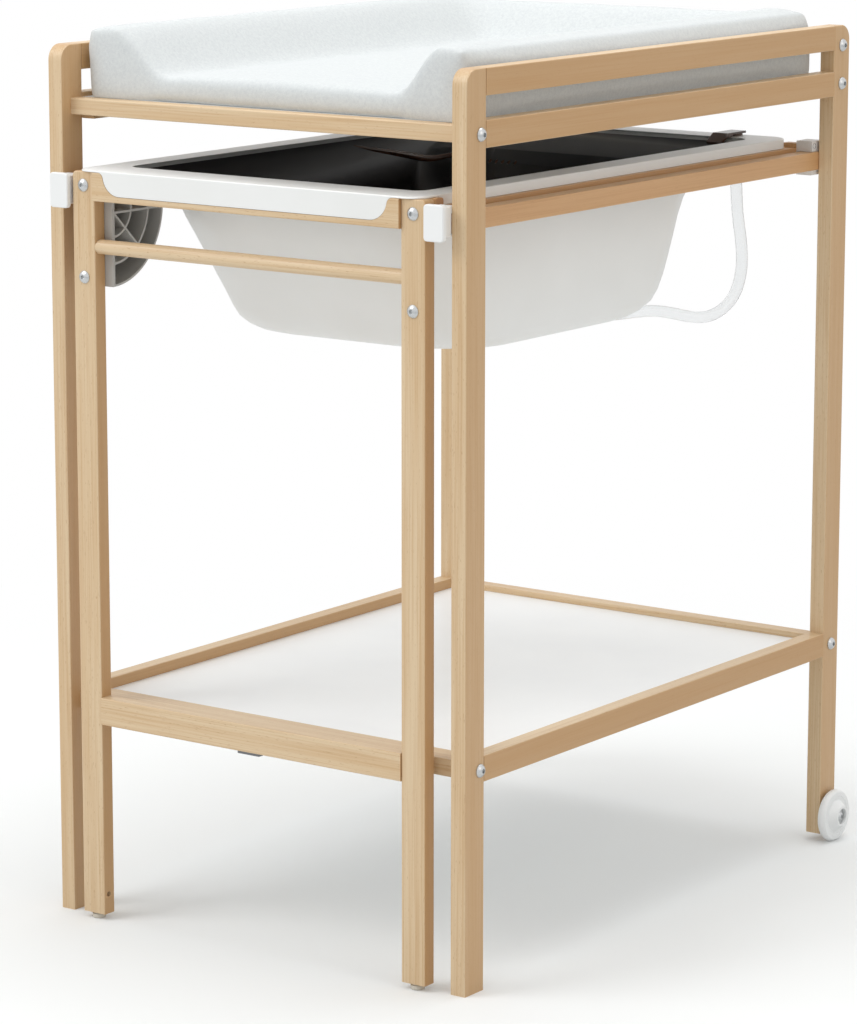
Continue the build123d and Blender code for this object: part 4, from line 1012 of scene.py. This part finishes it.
@dataclass
class Bath:
    """White bath with its dark inside, drain hose and clip."""

    hose_mm: float = 13.6
    hose_length_mm: float = 415.0
    lip_tall: float = 4.5
    smooth_deg: float = 32.0
    clip_round_mm: float = 1.1
    ridge_mm: float = 9.0
    ridge_sunk_mm: float = 1.2
    ridge_end_share: float = 0.25
    ridge_steps: int = 8
    ridge_sides: int = 4
    behind_out_mm: float = 1.0
    behind_down_mm: float = 3.0
    hose_steps: int = 12
    hose_sides: int = 6

    def build(self, nodes: dict[str, bpy.types.Object]) -> None:
        """Build the bath's pieces.

        Args:
            nodes: Construction nodes by name.
        """
        # Polypropylene from a polished mould: white with a soft gloss
        white = MouldedFinish(
            "white_polypropylene", "EEEFEE", "E6E7E5", 0.38, grit_mm=0.9, coat=0.15
        ).make()
        # The same plastic in a warm black, smoother where the water runs
        dark = MouldedFinish(
            "dark_polypropylene", "14110F", "1C1715", 0.3, grit_mm=1.1, coat=0.06
        ).make()
        # Brown nylon clip, glossy from handling
        brown = MouldedFinish("brown_rim_clip", "5A3A2A", "41291D", 0.3, coat=0.3).make()
        # Edge of the back rest, a moulded ridge, in a glossy brown that is a painted reflection
        ridge = MouldedFinish("back_rest_painted_reflection", "654536", "4C3428", 0.26, coat=0.4).make()
        for name, node, material, slot in (
            ("bath_shell", "tub_shell", white, "bath_white"),
            ("bath_inside", "tub_liner", dark, "bath_dark"),
            ("rim_clip", "hose_clip", brown, "brown_plastic"),
        ):
            rounding = self.clip_round_mm if name == "rim_clip" else 0.0
            piece = merged_copy(nodes[node], name, self.smooth_deg, rounding)
            dress(piece, material)
            if name == "bath_inside":
                self.painted_shade_lip(piece)
                self.build_seat_ridge(piece, ridge)
            if name == "bath_shell":
                self.paint_hole_shade(piece, ridge)
            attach(piece, "bath")
            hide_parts(node)
            LOG.info("bath piece %s", name)
        self.build_hose()

    def painted_shade_lip(self, liner: bpy.types.Object) -> None:
        """Paint a grey band of shade on the liner's upper edge, round the opening, where the rim's
        inner edge lies in shade under the mat.

        Args:
            liner: The bath's dark inside.
        """
        # Painted shade: a matt grey on the rim's inner edge, which lies in shade under the mat
        lip = MouldedFinish("painted_shade_lip", "A9AAA8", "9C9D9B", 0.42, grit_mm=0.9).make()
        liner.data.materials.append(lip)
        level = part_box("tub_liner")[1].z - self.lip_tall * MM
        pick_only(liner)
        bpy.ops.object.mode_set(mode="EDIT")
        bpy.ops.mesh.select_all(action="SELECT")
        bpy.ops.mesh.bisect(plane_co=(0, 0, level), plane_no=(0, 0, 1))
        bpy.ops.object.mode_set(mode="OBJECT")
        for face in liner.data.polygons:
            if face.center.z > level:
                face.material_index = 1

    def build_seat_ridge(self, liner: bpy.types.Object, finish: bpy.types.Material) -> None:
        """Lay the rounded edges of the back rest on the bath's inside.

        Each comes down along a side wall and rises again round the corner to the rear slope.

        Args:
            liner: The bath's dark inside, which carries it.
            finish: Material of the edge, whose brown is a painted reflection.
        """
        low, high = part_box("tub_liner")
        middle = (low + high) / 2
        half = (
            (4.0, -247.9, -10.1), (6.4, -216.1, -17.3), (7.9, -188.6, -21.9),
            (9.7, -157.3, -28.0), (12.1, -124.0, -34.6), (15.6, -106.5, -37.4),
            (21.4, -90.3, -35.8), (30.8, -72.7, -32.2), (52.0, -53.0, -27.1),
        )
        line = bpy.data.curves.new("seat_ridge_line", "CURVE")
        line.dimensions = "3D"
        for edge, turn in ((low.x, 1), (high.x, -1)):
            spline = line.splines.new("NURBS")
            spline.points.add(len(half) - 1)
            for number, (knot, (x, y, z)) in enumerate(zip(spline.points, half)):
                point = Vector((edge + turn * x * MM, high.y + y * MM, high.z + z * MM))
                _, seat, normal, _ = liner.closest_point_on_mesh(point)
                inwards = 1 if normal.dot(middle - seat) > 0 else -1
                knot.co = (*(seat - normal * inwards * self.ridge_sunk_mm * MM), 1.0)
                share = number / (len(half) - 1)
                knot.radius = max(self.ridge_end_share, math.sin(math.pi * share) ** 0.5)
            spline.order_u = 4
            spline.use_endpoint_u = True
            spline.resolution_u = self.ridge_steps
        line.bevel_depth = self.ridge_mm / 2 * MM
        line.bevel_resolution = self.ridge_sides
        line.use_fill_caps = True
        ridge = bpy.data.objects.new("seat_ridge", line)
        bpy.context.scene.collection.objects.link(ridge)
        pick_only(ridge)
        bpy.ops.object.convert(target="MESH")
        ridge = bpy.context.object
        bpy.ops.object.shade_smooth_by_angle(angle=math.radians(self.smooth_deg))
        dress(ridge, finish)
        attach(ridge, "bath")
        LOG.info("seat ridge")

    def paint_hole_shade(self, shell: bpy.types.Object, finish: bpy.types.Material) -> None:
        """Paint shade on the shell's skin behind the liner, which shows only in the overflow
        holes, so that they look dark.

        Args:
            shell: The white bath.
            finish: Material of that painted shade, the back rest's brown.
        """
        shell.data.materials.append(finish)
        low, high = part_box("tub_liner")
        middle = (low + high) / 2
        half = middle.x - low.x + self.behind_out_mm * MM
        level = high.z - self.behind_down_mm * MM
        for face in shell.data.polygons:
            inwards = middle - face.center
            inside = abs(inwards.x) < half and face.center.z < level
            if inside and face.normal.dot(inwards) > 0:
                face.material_index = 1

    def build_hose(self) -> None:
        """Lay the drain hose from the drain's spigot up to the clip on the rear rim."""
        low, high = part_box("drain_nut")
        drain = Vector(((low.x + high.x) / 2, (low.y + high.y) / 2, high.z))
        offsets = (
            (0.0270, 0.0400, -0.0215), (0.0440, 0.0650, -0.0185), (0.0630, 0.0930, -0.0150),
            (0.0850, 0.1180, -0.0120), (0.1030, 0.1370, -0.0100), (0.1200, 0.1520, -0.0140),
            (0.1340, 0.1650, -0.0185), (0.1450, 0.1810, -0.0205), (0.1530, 0.2000, -0.0160),
            (0.1590, 0.2190, -0.0030), (0.1610, 0.2320, 0.0160), (0.1620, 0.2365, 0.0400),
            (0.1620, 0.2330, 0.0670), (0.1620, 0.2240, 0.0970), (0.1623, 0.2200, 0.1280),
            (0.1620, 0.2185, 0.1540), (0.1620, 0.2185, 0.1760),
        )
        line = bpy.data.curves.new("drain_hose_line", "CURVE")
        line.dimensions = "3D"
        spline = line.splines.new("NURBS")
        spline.points.add(len(offsets) - 1)
        for point, offset in zip(spline.points, offsets):
            point.co = (*(drain + Vector(offset)), 1.0)
        spline.order_u = 3
        spline.use_endpoint_u = True
        spline.resolution_u = self.hose_steps
        line.bevel_depth = self.hose_mm / 2 * MM
        line.bevel_resolution = self.hose_sides
        line.use_fill_caps = True
        hose = bpy.data.objects.new("drain_hose_tube", line)
        bpy.context.scene.collection.objects.link(hose)
        hose.data.materials.append(HoseFinish().make())
        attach(hose, "bath")
        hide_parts("drain_hose")
        LOG.info("drain hose laid")


@dataclass
class ChangingMat:
    """Foam mat with three raised sides in a jersey cover."""

    bed_tall: float = 25.0
    crown: float = 3.0
    rear_drop: float = 6.0
    foot_from_left: float = 106.0
    foot_from_right: float = 88.0
    foot_from_rear: float = 93.0
    crest_from_left: float = 38.0
    crest_from_right: float = 31.0
    crest_from_rear: float = 38.0
    side_roll_mm: float = 9.0
    rear_roll_mm: float = 13.0
    front_corner_mm: float = 12.0
    rear_corner_mm: float = 22.0
    corner_cuts: int = 5
    edge_mm: float = 6.5
    edge_cuts: int = 4
    flat_top_mm: float = 3.0
    upright_mm: float = 10.0
    side_bulge_mm: float = 4.0
    bulge_power: int = 5
    sole_mm: float = 8.0
    shrink_mm: float = 1.0
    voxel_mm: float = 5.0
    pressure: float = 4.0
    cover_stiffness: float = 25.0
    swell_frames: int = 16
    swell_cap_mm: float = 2.0
    wave_mm: float = 0.8
    wave_per_m: float = 18.0
    smooth_factor: float = 0.5
    smooth_rounds: int = 3
    sole_crease_deg: float = 50.0

    def height(self, x: float, y: float, low: Vector, high: Vector) -> float:
        """Height of the mat's top surface.

        Args:
            x: Place across the mat, in metres.
            y: Place along the mat, in metres.
            low: Lowest corner of the mat's solid.
            high: Highest corner of the mat's solid.

        Returns:
            Height above the floor, in metres.
        """
        half = high.x - (self.side_bulge_mm + self.shrink_mm) * MM
        side, rear = half - abs(x), high.y - y
        foot_side = (self.foot_from_left if x < 0 else self.foot_from_right) * MM
        crest_side = (self.crest_from_left if x < 0 else self.crest_from_right) * MM
        bed = low.z + self.bed_tall * MM
        bed += self.crown * MM * max(0.0, 1 - (x / (half - foot_side)) ** 2)
        rise_side = 1 - smoothstep(crest_side, foot_side, side)
        rise_rear = 1 - smoothstep(self.crest_from_rear * MM, self.foot_from_rear * MM, rear)
        top_side = high.z - bed
        top_rear = high.z - self.rear_drop * MM - bed
        lift = 1 - (1 - rise_side) * (1 - rise_rear * top_rear / top_side)
        drop = self.roll(side, self.side_roll_mm * MM) + self.roll(rear, self.rear_roll_mm * MM)
        return bed + top_side * lift - drop

    def roll(self, inwards: float, radius: float) -> float:
        """Drop of a rounded edge at a distance inwards from its face, for a given radius."""
        out = min(radius, max(0.0, radius - inwards))
        return radius - math.sqrt(radius**2 - out**2)

    def build(self, node: bpy.types.Object) -> None:
        """Build the mat, swell its cover and lay it on its board.

        Args:
            node: Construction node of the mat.
        """
        low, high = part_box(node.name)
        sole = low - Vector((0, 0, self.sole_mm * MM))
        bpy.ops.object.select_all(action="DESELECT")
        bpy.ops.mesh.primitive_cube_add(size=1.0, location=(sole + high) / 2)
        mat = bpy.context.object
        mat.name = "padded_mat"
        draw_in = Vector((self.side_bulge_mm + self.shrink_mm, self.shrink_mm, 0))
        mat.scale = high - sole - 2 * MM * draw_in
        bpy.ops.object.transform_apply(location=True, rotation=False, scale=True)
        self.round_edges(mat)
        self.shape_top(mat, low, high)
        self.swell(mat, low, high)
        self.cut_sole(mat, low)
        dress(mat, JerseyFinish().make())
        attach(mat, "mat")
        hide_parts(node.name)
        LOG.info("padded mat with %d faces", len(mat.data.polygons))

    def round_edges(self, mat: bpy.types.Object) -> None:
        """Round the corners and the edges of the block and divide its faces.

        Args:
            mat: The mat, still a block.
        """
        pick_only(mat)
        bpy.ops.object.mode_set(mode="EDIT")
        for end, radius in ((-1, self.front_corner_mm), (1, self.rear_corner_mm)):
            bpy.ops.mesh.select_all(action="DESELECT")
            mesh = bmesh.from_edit_mesh(mat.data)
            for edge in mesh.edges:
                first, last = edge.verts
                upright = abs(first.co.z - last.co.z) > self.upright_mm * MM
                edge.select_set(upright and first.co.y * end > 0)
            bmesh.update_edit_mesh(mat.data)
            bpy.ops.mesh.bevel(offset=radius * MM, segments=self.corner_cuts, affect="EDGES")
        bpy.ops.mesh.select_all(action="DESELECT")
        mesh = bmesh.from_edit_mesh(mat.data)
        for edge in mesh.edges:
            faces = [face.normal.z for face in edge.link_faces]
            edge.select_set(max(faces) > FACES_AXIS and min(map(abs, faces)) < 1 - FACES_AXIS)
        bmesh.update_edit_mesh(mat.data)
        bpy.ops.mesh.bevel(offset=self.edge_mm * MM, segments=self.edge_cuts, affect="EDGES")
        bpy.ops.object.mode_set(mode="OBJECT")
        self.even_faces(mat)

    def even_faces(self, mat: bpy.types.Object) -> None:
        """Give the mat faces of one size all over.

        Args:
            mat: The mat.
        """
        pick_only(mat)
        remesh = mat.modifiers.new("even_faces", "REMESH")
        remesh.mode = "VOXEL"
        remesh.voxel_size = self.voxel_mm * MM
        bpy.ops.object.modifier_apply(modifier=remesh.name)

    def shape_top(self, mat: bpy.types.Object, low: Vector, high: Vector) -> None:
        """Press the bed down between the raised sides and round the rim of the cover.

        Args:
            mat: The mat.
            low: Lowest corner of the mat's solid.
            high: Highest corner of the mat's solid.
        """
        rounded = (self.edge_mm + self.flat_top_mm) * MM
        tall = high.z - low.z
        half = high.x - (self.side_bulge_mm + self.shrink_mm) * MM
        for vertex in mat.data.vertices:
            x, y, z = vertex.co
            along = (y - low.y) / (high.y - low.y)
            bulge = math.sqrt(math.sin(math.pi * min(1.0, max(0.0, along))))
            bulge *= smoothstep(0.0, 0.5, 1 - abs(2 * (z - low.z) / tall - 1))
            out = x / half * abs(x / half) ** self.bulge_power
            vertex.co.x += out * bulge * self.side_bulge_mm * MM
            top = self.height(x, y, low, high)
            depth = high.z - z
            if depth <= rounded:
                vertex.co.z = top - depth
            else:
                share = (depth - rounded) / (tall - rounded)
                vertex.co.z = top - rounded - share * (top - rounded - low.z)
        mat.data.update()

    def swell(self, mat: bpy.types.Object, low: Vector, high: Vector) -> None:
        """Blow the cover up a little, then smooth it.

        Args:
            mat: The mat.
            low: Lowest corner of the mat's solid.
            high: Highest corner of the mat's solid.
        """
        self.even_faces(mat)
        rest = [vertex.co.copy() for vertex in mat.data.vertices]
        cloth = mat.modifiers.new("cover", "CLOTH")
        cloth.settings.use_pressure = True
        cloth.settings.uniform_pressure_force = self.pressure
        cloth.settings.effector_weights.gravity = 0.0
        cloth.settings.tension_stiffness = self.cover_stiffness
        cloth.settings.compression_stiffness = self.cover_stiffness
        scene = bpy.context.scene
        for frame in range(1, self.swell_frames + 1):
            scene.frame_set(frame)
        pick_only(mat)
        bpy.ops.object.modifier_apply(modifier=cloth.name)
        scene.frame_set(1)
        cap = self.swell_cap_mm * MM
        normals = [vertex.normal.copy() for vertex in mat.data.vertices]
        for vertex, start, normal in zip(mat.data.vertices, rest, normals):
            move = vertex.co - start
            if move.length > cap:
                vertex.co = start + move.normalized() * cap
            wave = noise.noise(vertex.co * self.wave_per_m) * self.wave_mm * MM
            vertex.co += normal * wave
            vertex.co.x = min(max(vertex.co.x, low.x), high.x)
            vertex.co.y = min(max(vertex.co.y, low.y), high.y)
        mat.data.update()
        smooth = mat.modifiers.new("smooth_cover", "SMOOTH")
        smooth.factor = self.smooth_factor
        smooth.iterations = self.smooth_rounds
        pick_only(mat)
        bpy.ops.object.modifier_apply(modifier=smooth.name)
        fine = mat.modifiers.new("fine_cover", "SUBSURF")
        fine.levels = 1
        fine.render_levels = 1
        bpy.ops.object.modifier_apply(modifier=fine.name)

    def cut_sole(self, mat: bpy.types.Object, low: Vector) -> None:
        """Cut the mat flat where it rests on its board.

        Args:
            mat: The mat, which still reaches below its board's top.
            low: Lowest corner of the mat's solid.
        """
        pick_only(mat)
        bpy.ops.object.mode_set(mode="EDIT")
        bpy.ops.mesh.select_all(action="SELECT")
        bpy.ops.mesh.bisect(
            plane_co=(0, 0, low.z), plane_no=(0, 0, 1), use_fill=True, clear_inner=True
        )
        bpy.ops.object.mode_set(mode="OBJECT")
        bpy.ops.object.shade_smooth_by_angle(angle=math.radians(self.sole_crease_deg))


def main() -> None:
    """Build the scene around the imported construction."""
    logging.basicConfig(level=logging.INFO, format="%(message)s")
    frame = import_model()
    nodes = frame["nodes"]
    PhotoCamera().build()
    Studio().build()
    BeechFrame().build(nodes)
    Fittings().build(nodes)
    RearSliders().build(nodes)
    Bath().build(nodes)
    ChangingMat().build(nodes["changing_mat"])


if __name__ == "__main__":
    main()
